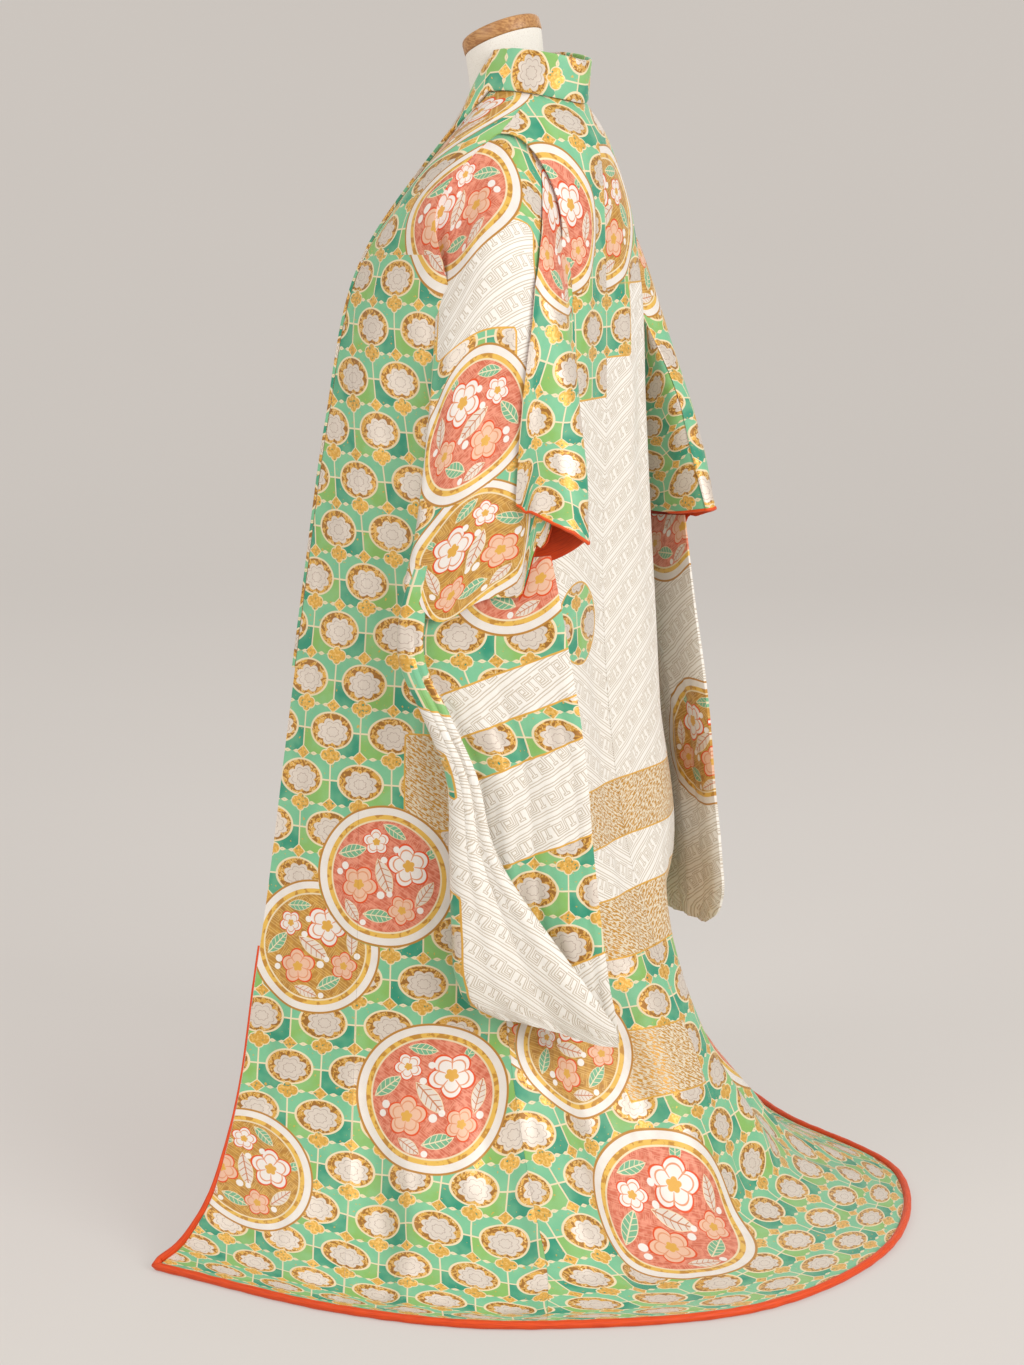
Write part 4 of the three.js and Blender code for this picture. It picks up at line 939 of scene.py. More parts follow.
def plain_silk(name, shade, deep, roughness=0.5):
    """Plain silk with a fine slub along the cloth."""
    g = Graph(name, sheen=0.08)
    at = g.scale(g.layer("flat"), 1 / MM)
    threads = weave(g, at, 1.1)
    slub = g.noise(g.turned(at, size=(14.0, 0.8)), 0.6, 2.0)
    base = g.mix(g.step(slub, 0.35, 0.75), shade, deep)
    # Painted shade: the silk is darkened towards its deep colour in the hollows between the threads, where the
    # weave's bump is low.
    base = g.mix(g.times(g.minus(1.0, threads), 0.2), base, deep)
    rough = g.times_plus(slub, 0.15, roughness - 0.08)
    return g.finish(base, g.plus(threads, g.times(slub, 0.5)), 0.35, 0.0003, roughness=rough)


def object_point(g):
    """The place on the object itself, in mm."""
    return g.scale(g.nodes.new("ShaderNodeTexCoord").outputs["Object"], 1 / MM)


def canvas(name):
    """The form's off-white woven cover."""
    g = Graph(name, roughness=0.85, sheen=0.2, specular=0.2)
    at = object_point(g)
    threads = g.noise(g.turned(at, size=(1.0, 1.0)), 0.9, 1.0)
    shade = g.noise(at, 0.012, 2.0)
    base = g.mix(shade, colour(240, 236, 228), colour(228, 222, 212))
    base = g.mix(g.step(threads, 0.5, 0.8), base, colour(214, 206, 194))
    return g.finish(base, threads, 0.3, 0.0003)


def cap_wood(name):
    """Pale varnished wood with its grain across the cap."""
    g = Graph(name, roughness=0.42, specular=0.5)
    at = object_point(g)
    node = g.nodes.new("ShaderNodeMapping")
    node.inputs["Scale"].default_value = (1.0, 0.07, 1.0)
    node.inputs["Rotation"].default_value = (0, 0, math.radians(24))
    g.put(node.inputs["Vector"], at)
    grain = g.noise(node.outputs[0], 0.35, 5.0, 0.6)
    fine = g.noise(node.outputs[0], 2.2, 2.0)
    base = g.mix(g.step(grain, 0.3, 0.7), colour(202, 152, 96), colour(158, 106, 60))
    base = g.mix(g.times(g.step(fine, 0.5, 0.8), 0.35), base, colour(120, 76, 40))
    return g.finish(base, fine, 0.15, 0.0003, roughness=g.times_plus(grain, 0.16, 0.34))


def brushed_steel(name):
    """Steel brushed round the pole and the base."""
    g = Graph(name, roughness=0.34, specular=0.5)
    at = object_point(g)
    node = g.nodes.new("ShaderNodeMapping")
    node.inputs["Scale"].default_value = (1.0, 1.0, 30.0)
    g.put(node.inputs["Vector"], at)
    lines = g.noise(node.outputs[0], 0.25, 3.0)
    base = g.mix(lines, colour(150, 150, 152), colour(190, 190, 190))
    return g.finish(base, lines, 0.12, 0.0002, metallic=0.95, roughness=g.times_plus(lines, 0.2, 0.25))


SIDES = ("left", "right")
SILK = plain_silk("orange_silk", ORANGE, colour(198, 56, 4))
PIPING = plain_silk("orange_piping", colour(232, 86, 14), colour(204, 62, 6), 0.45)
COVER = canvas("form_cover")
WOOD = cap_wood("cap_wood")
STEEL = brushed_steel("stand_steel")

# ---- Where the patterns lie, in mm on each flat piece ----
# Medallions: across, down, turn in degrees, half width, half length, kind (0 salmon, 1 gold). The front and its
# overlap panel are measured from the seam between them, so they share a list.
LEFT_FRONT = [
    (62, 1119, 20, 93, 93, 1), (-37, 1015, -15, 97, 97, 0), (-109, 1311, 10, 106, 102, 0),
    (147, 1455, -25, 98, 98, 1), (-190, 138, 0, 95, 116, 0), (0, 40, 0, 80, 62, 1),
]
RIGHT_FRONT = [
    (70, 1090, 30, 93, 93, 1), (-40, 985, -20, 96, 96, 0), (-120, 1340, 15, 100, 100, 0),
    (150, 1470, -10, 98, 98, 1), (-10, 60, 0, 80, 66, 1), (-190, 150, 0, 95, 110, 0),
]
MEDALS = {
    "left_front": LEFT_FRONT, "left_okumi": LEFT_FRONT, "right_front": RIGHT_FRONT, "right_okumi": RIGHT_FRONT,
    "left_back": [(232, 1215, -10, 90, 86, 1), (197, 1263, 25, 96, 92, 1), (164, 1495, 12, 122, 112, 0),
                  (104, 160, 0, 76, 92, 0)],
    "right_back": [(0, 155, 20, 88, 95, 1), (330, 1370, -15, 104, 100, 0), (250, 1180, 20, 92, 92, 1)],
    "left_sleeve": [(60, 70, 10, 100, 118, 0), (300, 60, 0, 80, 92, 0), (98, 572, -20, 96, 92, 1),
                    (76, 402, 15, 80, 100, 0)],
    "right_sleeve": [(60, 80, 0, 100, 112, 0), (100, 560, 20, 94, 92, 1), (76, 396, -10, 80, 98, 0),
                     (300, 60, 0, 80, 92, 1)],
    "left_pleat": [(40, 78, 0, 78, 92, 0)],
    "right_pleat": [(60, 90, 20, 80, 90, 1)],
    "left_bag": [(150, 800, 10, 94, 94, 0)],
    "right_bag": [(190, 1114, 10, 88, 92, 1), (150, 800, -10, 94, 94, 0)],
}

# Zones: which, middle across, middle down, half width, half length, turn in degrees, corner radius. The first
# kind is the ivory fret and the second the rubbed foil. BARE takes a place out of both: the lattice shows again.
IVORY_ZONE, FOIL_ZONE, BARE = 0, 1, 2
BACK_BANDS = [
    (FOIL_ZONE, 85, 959, 400, 40, 0, 0), (IVORY_ZONE, 85, 1035, 400, 36, 0, 0),
    (FOIL_ZONE, 85, 1111, 400, 40, 0, 0),
]
ZONES = {
    "left_back": [(IVORY_ZONE, 85, 655, 400, 264, 0, 0), *BACK_BANDS, (BARE, 82, 688, 55, 55, 0, 55),
                  (FOIL_ZONE, 40, 1303, 96, 48, 0, 0)],
    "right_back": [(IVORY_ZONE, 85, 580, 400, 339, 0, 0), (BARE, 0, 292, 60, 46, 0, 6), *BACK_BANDS],
    "left_front": [(FOIL_ZONE, -96, 884, 32, 64, 0, 4)],
    "right_front": [(FOIL_ZONE, -110, 850, 34, 70, 0, 4)],
    "left_sleeve": [(IVORY_ZONE, 84, 215, 78, 72, 0, 8), (IVORY_ZONE, 142, 330, 13, 90, 0, 8)],
    "right_sleeve": [(IVORY_ZONE, 84, 220, 78, 70, 0, 8)],
    "left_bag": [(IVORY_ZONE, 110, 976, 160, 27, -18, 0), (IVORY_ZONE, 110, 1123, 160, 59, -20, 0),
                 (IVORY_ZONE, 200, 1385, 240, 76, -20, 0), (BARE, -60, 700, 62, 200, 0, 0),
                 (IVORY_ZONE, -170, 1365, 172, 330, 0, 0)],
    "right_bag": [(IVORY_ZONE, 0, 1100, 500, 500, 0, 0)],
}


def zone_layers(flat, shapes):
    """For each flat point, how far it lies inside the ivory zones and inside the foil zones, in mm."""
    field = np.full(flat.shape, -1000.0)
    for which, x, y, wide, long, turn, corner in shapes:
        cos, sin = math.cos(math.radians(turn)), math.sin(math.radians(turn))
        local = (flat - np.array([x, y])) @ np.array([[cos, -sin], [sin, cos]])
        away = np.abs(local) - np.array([wide, long]) + corner
        outside = np.linalg.norm(np.maximum(away, 0), axis=-1)
        depth = corner - outside - np.minimum(away.max(axis=-1), 0)
        if which == BARE:
            field = np.minimum(field, -depth[..., None])
        else:
            other = 1 - which
            field[..., other] = np.minimum(field[..., other], -depth)
            field[..., which] = np.maximum(field[..., which], depth)
    return field


def brocade_for(key):
    """The brocade of one piece, with that piece's own medallions."""
    return brocade(f"brocade_{key}", MEDALS.get(key, []))


def cut_of(flat):
    """The widest width, the length and the flat area of a panel, in metres."""
    widths = flat[:, -1, 0] - flat[:, 0, 0]
    downs = flat[:, 0, 1]
    area = float(np.sum((widths[1:] + widths[:-1]) / 2 * np.diff(downs)))
    return float(widths.max()) * MM, float(downs[-1] - downs[0]) * MM, area * MM * MM


def dress(piece, slot_name, *nodes):
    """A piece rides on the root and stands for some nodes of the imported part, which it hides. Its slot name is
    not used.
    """
    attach(piece, "root")
    if nodes:
        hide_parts(*nodes)
    return piece


# ---- The robe's panels ----
for side in SIDES:
    for part in PANELS:
        key = f"{side}_{part}"
        grid, flat = panel_grid(side, part)
        piece = shell(f"{part}_panel_{side}", grid, CLOTH, flat, [brocade_for(key), SILK],
                      zones=zone_layers(flat, ZONES.get(key, [])), flip=side == "right")
        dress(piece, "brocade", key)
        wide, long, area = cut_of(flat)

# ---- Collar ----
COLLAR_LEAN = np.array([  # share of the half length from the low end, then the way across to the free edge
    (0, -0.93, -0.37, 0), (0.5, -0.93, -0.3, 0.1), (0.74, -0.8, 0.1, 0.55), (0.86, -0.26, 0, 0.95),
    (1, 0, 0.12, 0.99),
])


def collar_band():
    """The collar's sections from the left end to the right one, and the ways along and round them in mm."""
    up = np.array([robe("left", 1.0, down)[0] for down in np.arange(COLLAR_END, 0, -6.0)])
    neck = robe("left", np.linspace(1, 0, 26), 0.0)
    seam = np.concatenate([up, neck])
    runs = run_along(seam)
    half = runs[-1]
    lean = unit(spline(COLLAR_LEAN[:, 0], COLLAR_LEAN[:, 1:], runs / half))
    along = unit(np.gradient(seam, axis=0))
    out = unit(np.cross(along, lean))
    bend = COLLAR_THICK / 2
    section = [(0.3, 0.8)] + [(x, 0) for x in np.linspace(2, COLLAR_WIDTH - bend, 9)]
    turns = np.radians(np.linspace(-70, 70, 5))
    section += [(COLLAR_WIDTH - bend + bend * math.cos(a), bend + bend * math.sin(a)) for a in turns]
    section += [(x, COLLAR_THICK) for x in np.linspace(COLLAR_WIDTH - bend, 2, 9)] + [(0.3, COLLAR_THICK - 0.8)]
    width_at, out_at = np.array(section).T
    share = np.clip(width_at / COLLAR_WIDTH, 0, 1)
    soft = 0.7 * np.sin(runs / 47)[:, None] * share + 0.5 * np.sin(runs / 21 + 1)[:, None] * share
    left = (seam[:, None] + lean[:, None] * (SEAM_GAP + width_at)[None, :, None]
            + out[:, None] * (out_at + soft)[..., None])
    right = mirrored(left[-2::-1])
    grid = np.concatenate([left, right])
    run = np.concatenate([runs, 2 * half - runs[-2::-1]])
    return grid, run, run_along(np.stack([width_at, out_at], -1))


def swept(name, grid, down, across, material, zones=None):
    """A solid band swept through closed sections (rows, sides)."""
    rows, sides = grid.shape[:2]
    places, corners, caps = capped_faces(rows, sides)
    faces = [list(f) for f in corners] + caps
    wrap = np.append(across, across[-1] + 4)
    pairs = np.array([(wrap[c], down[r]) for r, c in places.reshape(-1, 2)])
    ends = np.array([(across[k], down[0]) for k in range(sides)][::-1]
                    + [(across[k], down[-1]) for k in range(sides)])
    pairs = np.concatenate([pairs, ends])
    layers = None if zones is None else zone_layers(pairs, zones) * MM
    return make_mesh(name, grid.reshape(-1, 3), faces, [material], flat=pairs * MM, zones=layers)


grid, run, across = collar_band()
collar = swept("collar_band", grid, run, across, brocade_for("collar"), ZONES.get("collar", []))
dress(collar, "brocade", "collar")


# ---- Sleeves ----
BAG_ROWS = np.unique(np.concatenate([np.arange(BAG_FOOT, BAG_START, 9.0), [LEFT_FOOT, BAG_START]]))
BAG_WAYS = np.concatenate([np.linspace(0, NEAR_SHARE, NEAR_COUNT), np.linspace(0.375, 0.505, 9),
                           np.linspace(NEAR_SHARE + BEND_SHARE, 1, 34)])
# Soft folds down the hanging bag: way along it at the top and at the foot, half width, depth in mm.
BAG_FOLDS = [
    (0.10, 0.06, 0.030, 3.0), (0.20, 0.17, 0.028, -3.2), (0.29, 0.27, 0.026, 2.6), (0.58, 0.60, 0.020, -3.0),
    (0.66, 0.69, 0.024, 3.4), (0.75, 0.79, 0.020, -3.4), (0.83, 0.88, 0.022, 3.0), (0.93, 0.96, 0.016, -2.4),
]


# How much longer the wrist's edge is there than the plain tube, in mm, by degrees round it.
WRIST_DROP = {
    "left": [(90, 0), (104, 11), (110, 27), (114, 38), (118, 30), (123, 0)],
    "right": [(60, 0), (75, 20), (90, 38), (104, 42), (120, 41), (128, 33), (135, 27), (150, 13), (168, 0)],
}
# The rear fold laps over the near face: its edge in degrees round the sleeve, by share of the way down it, and
# how far down its lower lip reaches, by degrees.
PLEAT_EDGE = [(0, 133), (0.1, 127), (0.2, 116), (0.3, 110), (0.4, 107), (0.5, 103), (0.6, 100),
              (0.7, 98), (0.83, 97)]
PLEAT_LIP = {
    "left": [(97, 0.836), (101, 0.844), (104, 0.87), (107, 0.906), (110, 0.954), (112, 0.98), (117, 1.004),
             (125, 1.03), (135, 1.046), (150, 1.04), (165, 1.022), (180, 1.012), (190, 1.006)],
    "right": [(97, 0.9), (104, 0.96), (112, 1), (180, 1)],
}
PLEAT_TOP, PLEAT_END, PLEAT_THICK = 0.03, 190.0, 1.2
UPPER_LENGTH = 456.0
# Rows of the upper sleeve whose back has the face's cloth. The orange lining starts below them.
SAME_ROWS = 46


def sleeve_cloth(side, turns, runs, closed):
    """The upper sleeve's outer face with its ripples."""
    grid = sleeve_grid(side, turns, runs)
    if closed:
        grid, turns = grid[:, :-1], turns[:-1]
    rows, columns = np.meshgrid(runs, turns * FULL_TURN, indexing="ij")
    ripple = 1.6 * np.sin(columns * 3 + rows * 5) * smooth(rows, 0.1, 0.35) * (1 - smooth(rows, 0.8, 1))
    ripple += 1.2 * np.sin(columns * 7 - rows * 8) * smooth(rows, 0.05, 0.3) * (1 - smooth(rows, 0.7, 1))
    return grid - unit_normals(grid, closed) * ripple[..., None]


def wrist_drop(side, turns, runs):
    """How much lower the cloth hangs at each row and turn, towards the wrist."""
    degrees, drops = zip(*WRIST_DROP[side])
    return np.interp(turns * 360, degrees, drops) * smooth(runs, 0.85, 1)[:, None]


def upper_sleeve(side):
    """The upper sleeve's outer face, columns to the front, and its flat places with one column more."""
    turns = np.linspace(0, 1, 121)
    runs = np.concatenate([np.linspace(0, 0.08, 5), np.linspace(0.1, 1, 54)])
    grid = sleeve_cloth(side, turns, runs, True)
    grid[..., 2] -= wrist_drop(side, turns[:-1], runs)
    closed = np.concatenate([grid, grid[:, :1]], 1)
    around = np.concatenate([np.zeros((len(grid), 1)),
                             np.cumsum(np.linalg.norm(np.diff(closed, axis=1), axis=2), axis=1)], 1)
    down = run_along(grid[:, 24])
    flat = np.stack([around, np.broadcast_to(down[:, None], around.shape)], -1)
    return closed[:, :0:-1], flat[:, ::-1]


def sampled(grid, row, column):
    """Points of a grid at broken row and column numbers."""
    r = np.clip(np.floor(row).astype(int), 0, grid.shape[0] - 2)
    c = np.clip(np.floor(column).astype(int), 0, grid.shape[1] - 2)
    down, along = (row - r)[..., None], (column - c)[..., None]
    return ((grid[r, c] * (1 - along) + grid[r, c + 1] * along) * (1 - down)
            + (grid[r + 1, c] * (1 - along) + grid[r + 1, c + 1] * along) * down)


def pleat(side):
    """The rear fold of the upper sleeve, rows down it and columns to the back."""
    turns, runs = np.linspace(0.24, 0.56, 129), np.linspace(0, 1.06, 107)
    base = sleeve_cloth(side, turns, runs, False)
    if side == "right":
        base[..., 2] -= wrist_drop(side, turns, runs)
    out = -unit_normals(base)
    ways = np.concatenate([[0, 0.006, 0.016, 0.03], np.linspace(0.05, 1, 44)])
    grid, flat = [], []
    for share in np.linspace(0, 1, 60):
        edge_run = PLEAT_TOP + (PLEAT_LIP[side][0][1] - PLEAT_TOP) * share
        first = np.interp(edge_run, *zip(*PLEAT_EDGE))
        degrees = first + (PLEAT_END - first) * ways
        run = PLEAT_TOP + (np.interp(degrees, *zip(*PLEAT_LIP[side])) - PLEAT_TOP) * share
        row = run / (runs[1] - runs[0])
        column = (degrees / 360 - turns[0]) / (turns[1] - turns[0])
        lift = 1.8 + 6.0 * (1 - smooth(ways, 0.06, 0.75)) * smooth(share, 0.02, 0.3)
        lift -= 2.6 * (1 - smooth(ways, 0, 0.03)) * smooth(share, 0.02, 0.3)
        line = sampled(base, row, column) + sampled(out, row, column) * lift[:, None]
        grid.append(line)
        flat.append(np.stack([run_along(line), run * UPPER_LENGTH], -1))
    return np.array(grid)[:, ::-1], np.array(flat)[:, ::-1]


def bag_rings(side):
    """The bag's outer and inner rings from the top down, and each point's place on the cloth in mm."""
    outer, inner, flat = [], [], []
    foot = BAG_ROWS[0]
    for z in BAG_ROWS[::-1]:
        path, thick = bag_path(side, z, BAG_WAYS)
        share = (BAG_START - z) / (BAG_START - foot)
        wave = np.zeros(len(BAG_WAYS))
        for top, low, wide, deep in BAG_FOLDS:
            middle = top + (low - top) * share
            wave += deep * np.exp(-(((BAG_WAYS - middle) / wide) ** 2)) * float(smooth(share, 0.1, 0.45))
        path = path + wave[:, None] * OUT
        forward = unit(np.gradient(path, axis=0) * np.array([1, 1, 0]))
        sideways = np.stack([forward[:, 1], -forward[:, 0], np.zeros(len(forward))], -1)
        run = run_along(path)
        run = run - run[NEAR_COUNT]
        half = thick / 2
        closing = 0.35 + 0.65 * min(1.0, (z - foot) / 30) ** 0.5
        ends = np.ones(len(BAG_WAYS))
        ends[[0, -1]] = 0.35
        ends[[1, -2]] = 0.8
        for rings, inset in ((outer, 0.0), (inner, BAG_WALL)):
            by = np.maximum((half * closing * ends - inset), 0.15)[:, None]
            start = path.copy()
            start[0] = start[0] + forward[0] * inset
            start[-1] = start[-1] - forward[-1] * inset
            lifted = start + np.array([0, 0, max(0.0, foot + inset * 1.2 - z)])
            rings.append(np.concatenate([lifted + sideways * by, (lifted - sideways * by)[::-1]]))
        flat.append(np.stack([np.concatenate([run, run[::-1]]), np.full(2 * len(run), HEM - z)], -1))
    return np.array(outer), np.array(inner), np.array(flat)


def bag(name, side, materials, zones):
    """The lower sleeve as one closed bag, open at the top. It returns the object and its flat places."""
    outer, inner, flat = bag_rings(side)
    rows, columns = outer.shape[:2]
    points = np.concatenate([outer.reshape(-1, 3), inner.reshape(-1, 3)])
    shift = rows * columns
    places = grid_faces(rows, columns, True)
    corners = places[..., 0] * columns + places[..., 1] % columns
    faces, kinds = [corners[:, ::-1], corners + shift], [np.zeros(len(corners)), np.ones(len(corners))]
    c = np.arange(columns)
    n = (c + 1) % columns
    faces.append(np.stack([c, n, n + shift, c + shift], -1))
    kinds.append(np.ones(columns))
    half = columns // 2
    c = np.arange(half - 1) + (rows - 1) * columns
    d = (rows - 1) * columns + columns - 1 - np.arange(half - 1)
    foot = np.stack([c, c + 1, d - 1, d], -1)
    faces += [foot[:, ::-1], foot + shift]
    kinds += [np.zeros(half - 1), np.ones(half - 1)]
    faces, kinds = np.concatenate(faces), np.concatenate(kinds)
    pairs = np.concatenate([flat.reshape(-1, 2)] * 2)[faces].reshape(-1, 2)
    if side == "right":
        points, faces = mirrored(points), faces[:, ::-1]
        pairs = pairs.reshape(-1, 4, 2)[:, ::-1].reshape(-1, 2)
    return make_mesh(name, points, faces, materials, kinds, pairs * MM, zone_layers(pairs, zones) * MM), flat


for side in SIDES:
    flip = side == "right"
    grid, flat = upper_sleeve(side)
    key = f"{side}_sleeve"
    upper = shell(f"sleeve_upper_{side}", grid, CLOTH, flat, [brocade_for(key), SILK],
                  zones=zone_layers(flat, ZONES.get(key, [])), closed=True, flip=flip, same_rows=SAME_ROWS)
    dress(upper, "brocade", key)
    flap_grid, flap_flat = pleat(side)
    flap_key = f"{side}_pleat"
    flap = shell(f"sleeve_pleat_{side}", flap_grid, PLEAT_THICK, flap_flat, [brocade_for(flap_key), SILK],
                 zones=zone_layers(flap_flat, ZONES.get(flap_key, [])), flip=flip)
    dress(flap, "brocade", key)
    key = f"{side}_bag"
    lower, bag_flat = bag(f"sleeve_bag_{side}", side, [brocade_for(key), SILK], ZONES.get(key, []))
    dress(lower, "brocade", f"{side}_sleeve")

    first, last = MOUTH_LINING[side]
    edge = sleeve_grid(side, np.linspace(PLEAT_END + 2, last, 30) / 360, [0.994, 1.0])[1]
    path = np.concatenate([flap_grid[-1, ::-1], edge])
    path = path + unit(path.mean(axis=0) - path) * (CLOTH / 2) - np.array([0, 0, 0.6])
    fade = np.sin(np.linspace(0, math.pi, len(path))) ** 0.25
    piping = tube(f"wrist_piping_{side}", path, 1.0 + PIPING_RADIUS * fade, PIPING, flip=flip)
    dress(piping, "orange_silk")

    rows = np.linspace(LINING_TOP, 1 + LINING_LIP, 20)
    lining_turns = np.linspace(last, first, 60) / 360
    silk = sleeve_grid(side, lining_turns, rows)
    silk[..., 2] -= wrist_drop(side, lining_turns, rows)
    silk = silk - unit_normals(silk) * (CLOTH + LINING_GAP)
    around = np.cumsum(np.linalg.norm(np.diff(silk, axis=1, prepend=silk[:, :1]), axis=2), axis=1)
    down = np.cumsum(np.linalg.norm(np.diff(silk[:, 0], axis=0, prepend=silk[:1, 0]), axis=1))
    silk_flat = np.stack([around, np.broadcast_to(down[:, None], around.shape)], -1)
    lining = shell(f"sleeve_lining_{side}", silk, LINING, silk_flat, [SILK, SILK], flip=flip)
    dress(lining, "orange_silk", f"{side}_sleeve_lining")


# ---- Padded hem ----
def hem_path(side):
    """The padded roll's middle line and radii, along the hem and up the front edge."""
    points, radii = [], []
    for place in np.linspace(0, 1, 210):
        here = robe(side, place, HEM)[0]
        ends = robe(side, [place + 0.006, place - 0.006], HEM)
        along = unit(ends[0] - ends[1])
        away = unit(np.array([-along[1], along[0], 0.0]))
        point = here + away * (ROLL_RADIUS + SEAM_GAP)
        point[2] = ROLL_RADIUS
        if place == 0:
            point[0] = SEAM_GAP / 2
        points.append(point)
        radii.append(ROLL_RADIUS)
    corner = points[-1] + along * (ROLL_RADIUS + SEAM_GAP)
    points[-1] = points[-1] + along * 1.0
    points.append(points[-1] * 0.35 + corner * 0.65)
    radii.append(ROLL_RADIUS)
    for down in np.arange(HEM - 6, ROLL_TOP, -7.0):
        here = robe(side, 1.0, down)[0]
        along = unit(robe(side, 1.0, down + 6)[0] - robe(side, 1.0, down - 6)[0])
        away = here - robe(side, 0.99, down)[0]
        away = unit(away - along * (away @ along))
        radius = ROLL_THIN + (ROLL_RADIUS - ROLL_THIN) * float(smooth(down, ROLL_TOP + 200, HEM - 20))
        points.append(here + away * (radius + SEAM_GAP))
        radii.append(radius)
    points = np.array(points)
    points[:, 2] = np.maximum(points[:, 2], np.array(radii) * 1.02)
    return points, np.array(radii)


for side in SIDES:
    path, radii = hem_path(side)
    roll = tube(f"hem_roll_cover_{side}", path, radii, SILK, sides=16, flip=side == "right", wrinkle=0.035)
    dress(roll, "orange_silk", f"{side}_hem_roll")

# ---- Dress form and stand ----
TORSO = np.array([  # z, how far back, half width, half depth
    (780, 4, 142, 104), (800, 4, 156, 114), (880, 3, 163, 118), (980, 2, 138, 100), (1080, 2, 118, 90),
    (1170, 2, 132, 100), (1250, 0, 150, 112), (1330, 2, 164, 106), (1385, 6, 158, 88), (1420, 8, 144, 74),
    (1448, 8, 136, 66), (1472, 6, 118, 60), (1492, 3, 96, 57),
])
NECK = np.array([  # z, how far back, radius, share of the cap's tilt
    (1492.4, 2, 57, 0), (1525, -2, 53, 0.3), (1565, -8, 51, 0.75), (1600, -13, 51, 1),
])
NECK_TILT = math.radians(21)
CAP_THICK = 20.0
POLE_RADIUS = 14.0
BASE_RADIUS = 170.0
BASE_THICK = 16.0
BASE_ROUND = 5.0
SIDES_ROUND = 96
TORSO_FULL = 0.86  # power that squares the torso's section


def form_ring(z, y, wide, deep, power, tilt=0.0):
    angle = np.arange(SIDES_ROUND) / SIDES_ROUND * FULL_TURN
    across, back = wide * squash(np.cos(angle), power), deep * squash(np.sin(angle), power)
    return np.stack([across, y + back, z + back * math.tan(NECK_TILT * tilt)], -1)


def form_levels(table, count):
    """Heights up a table of the form, and the table's other values there."""
    levels = np.linspace(table[0, 0], table[-1, 0], count)
    return levels, [spline(table[:, 0], table[:, 1:], z)[0] for z in levels]


levels, rows = form_levels(TORSO, 70)
edge = TORSO[[0, -1], 0]
rings = []
for z, (y, wide, deep) in zip(levels, rows):
    inset = 1.0 + 5 * (1 - min(1.0, (z - edge[0]) / 14)) + 3 * (1 - min(1.0, (edge[1] - z) / 10))
    rings.append(form_ring(z, y, wide - inset, deep - inset, TORSO_FULL))
torso = dress(stack("form_torso_cover", rings, COVER), "form_cloth", "form_torso")

levels, rows = form_levels(NECK, 34)
rings = [form_ring(z, y, radius, radius, 1.0, tilt) for z, (y, radius, tilt) in zip(levels, rows)]
neck = dress(stack("form_neck_cover", rings, COVER), "form_cloth", "form_neck")

top_z, top_y, top_radius, _ = NECK[-1]
cap_rings = []
for rise, shrink in ((0.42, 2.2), (0.9, 1.0), (2.0, 0.2), (3.4, 0), (CAP_THICK - 6, 0), (CAP_THICK - 3.6, 0.5),
                     (CAP_THICK - 1.9, 1.6), (CAP_THICK - 0.7, 3.4), (CAP_THICK, 6.5)):
    size = top_radius + 0.8 - shrink
    cap_rings.append(form_ring(top_z + rise, top_y - rise * 0.3, size, size, 1.0, 1.0))
dress(stack("form_cap_wood", cap_rings, WOOD), "cap_wood", "form_cap")

height = (BASE_THICK + SEAM_GAP, TORSO[0, 0] - SEAM_GAP)
rings = [form_ring(z, 0, POLE_RADIUS, POLE_RADIUS, 1.0) for z in np.linspace(*height, 4)]
dress(stack("stand_pole", rings, STEEL), "stand_steel", "form_pole")
profile = [(BASE_RADIUS - 1, 0), (BASE_RADIUS, 1), (BASE_RADIUS, BASE_THICK - BASE_ROUND)]
for a in np.radians((25, 50, 75, 90)):
    profile.append((BASE_RADIUS + BASE_ROUND * (math.cos(a) - 1), BASE_THICK + BASE_ROUND * (math.sin(a) - 1)))
rings = [form_ring(z, 0, radius, radius, 1.0) for radius, z in profile]
dress(stack("stand_base", rings, STEEL), "stand_steel", "form_base")


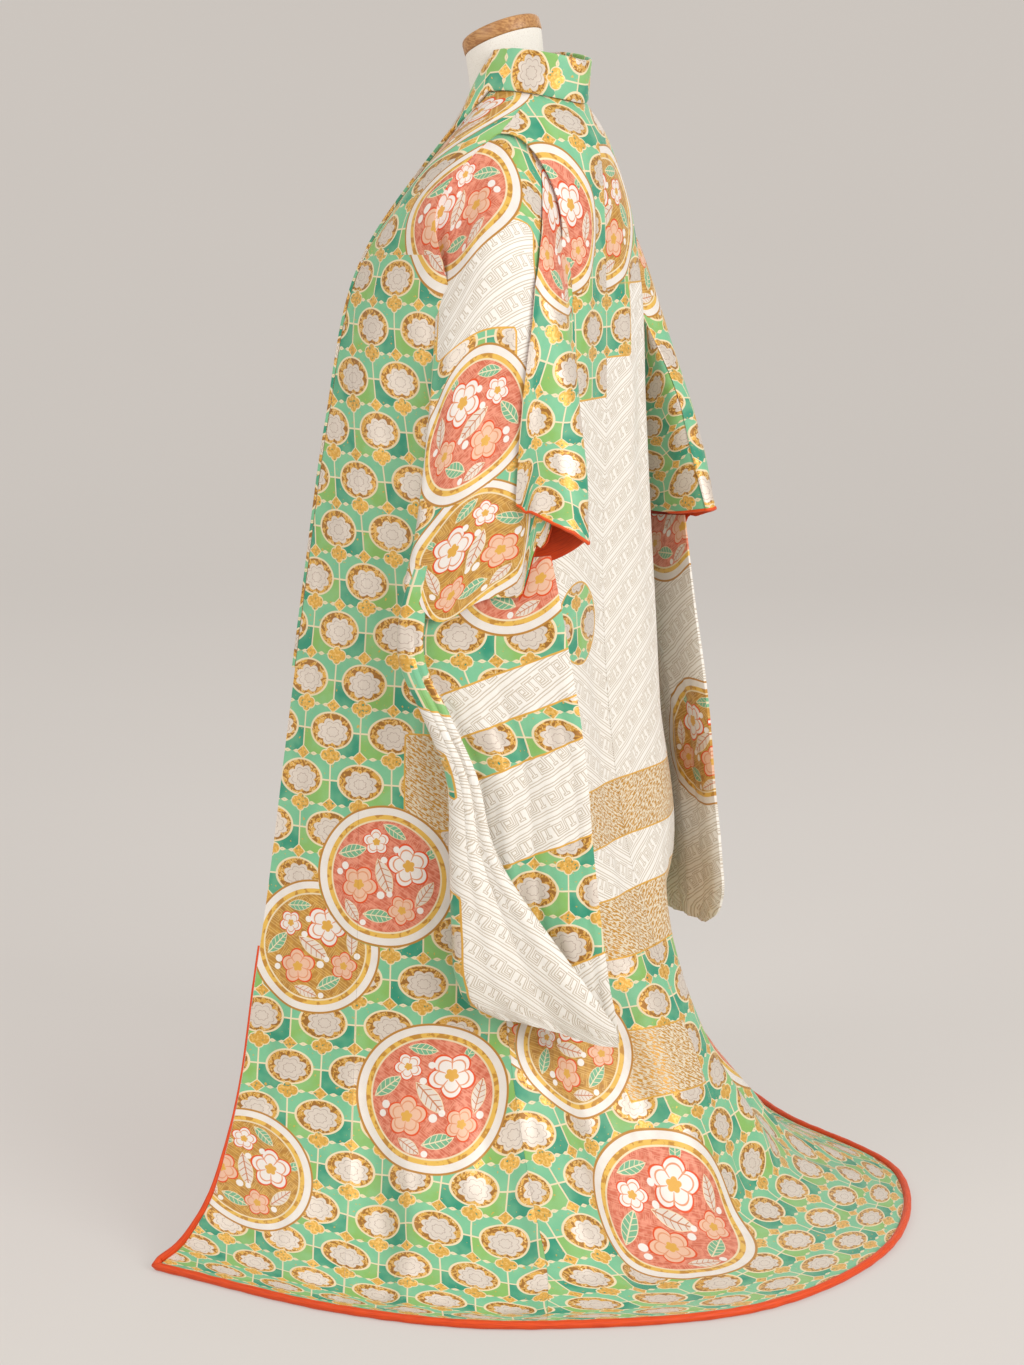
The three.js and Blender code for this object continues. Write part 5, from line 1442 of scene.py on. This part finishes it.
# ---- Floor, light and camera ----
def studio():
    """A pale round room whose floor curves up into its wall."""
    profile = [(0.02, -0.0006), (2.0, -0.0006), (6.0, -0.0006)]
    profile += [(6.0 + 2.5 * math.sin(a), 2.5 - 2.5 * math.cos(a)) for a in np.radians(np.linspace(8, 90, 10))]
    profile += [(8.5, 7.0)]
    around = np.linspace(0, FULL_TURN, 65)[:-1]
    points = [(r * math.cos(a), r * math.sin(a), z) for r, z in profile for a in around]
    n = len(around)
    faces = [(k * n + c, k * n + (c + 1) % n, (k + 1) * n + (c + 1) % n, (k + 1) * n + c)
             for k in range(len(profile) - 1) for c in range(n)]
    faces = [f[::-1] for f in faces] + [list(range(n))]
    g = Graph("studio_floor", roughness=0.9, specular=0.1)
    shade = g.noise(g.nodes.new("ShaderNodeTexCoord").outputs["Object"], 0.7, 2.0)
    material = g.finish(g.mix(shade, colour(150, 146, 142), colour(144, 140, 136)))
    glow = material.node_tree.nodes["Principled BSDF"].inputs
    glow["Emission Color"].default_value = colour(226, 220, 214)
    glow["Emission Strength"].default_value = 0.53
    mesh = bpy.data.meshes.new("studio")
    mesh.from_pydata(points, [], faces)
    mesh.materials.append(material)
    mesh.polygons.foreach_set("use_smooth", np.ones(len(mesh.polygons), bool))
    room = bpy.data.objects.new("studio", mesh)
    bpy.context.collection.objects.link(room)


def softbox(name, place, size, power, tint=(1, 1, 1), aim=(0, 0, 0.8)):
    light = bpy.data.lights.new(name, "AREA")
    light.shape = "RECTANGLE"
    light.size, light.size_y = size
    light.energy = power
    light.color = tint
    lamp = bpy.data.objects.new(name, light)
    lamp.location = place
    lamp.rotation_euler = (Vector(aim) - Vector(place)).to_track_quat("-Z", "Y").to_euler()
    bpy.context.collection.objects.link(lamp)


studio()
softbox("key", (3.6, -1.6, 3.2), (2.2, 2.2), 62, (1.0, 0.99, 0.975))
softbox("fill", (1.2, 4.6, 2.6), (3.0, 2.4), 175, (0.98, 0.99, 1.0))
softbox("far", (-3.8, -0.4, 3.0), (2.6, 2.6), 14)
softbox("top", (0.4, 0.2, 5.2), (4.0, 4.0), 32, aim=(0.4, 0.2, 0))

world = bpy.data.worlds.new("studio_air")
world.use_nodes = True
world.node_tree.nodes["Background"].inputs["Color"].default_value = colour(232, 228, 224)
world.node_tree.nodes["Background"].inputs["Strength"].default_value = 0.55
bpy.context.scene.world = world
bpy.context.scene.view_settings.view_transform = "Standard"

CAMERA_TURN = math.radians(30)
CAMERA_AWAY, CAMERA_HIGH, CAMERA_DOWN = 3.6, 1.43, math.radians(11.05)
FOCAL_PIXELS, PHOTO = 2611.5, (1024, 1365)
camera = bpy.data.cameras.new("camera")
camera.sensor_width = 36.0
camera.lens = FOCAL_PIXELS / max(PHOTO) * camera.sensor_width
viewer = bpy.data.objects.new("camera", camera)
viewer.location = (CAMERA_AWAY * math.cos(CAMERA_TURN), CAMERA_AWAY * math.sin(CAMERA_TURN), CAMERA_HIGH)
viewer.rotation_euler = (math.pi / 2 - CAMERA_DOWN, 0, CAMERA_TURN + math.pi / 2)
bpy.context.collection.objects.link(viewer)
bpy.context.scene.camera = viewer
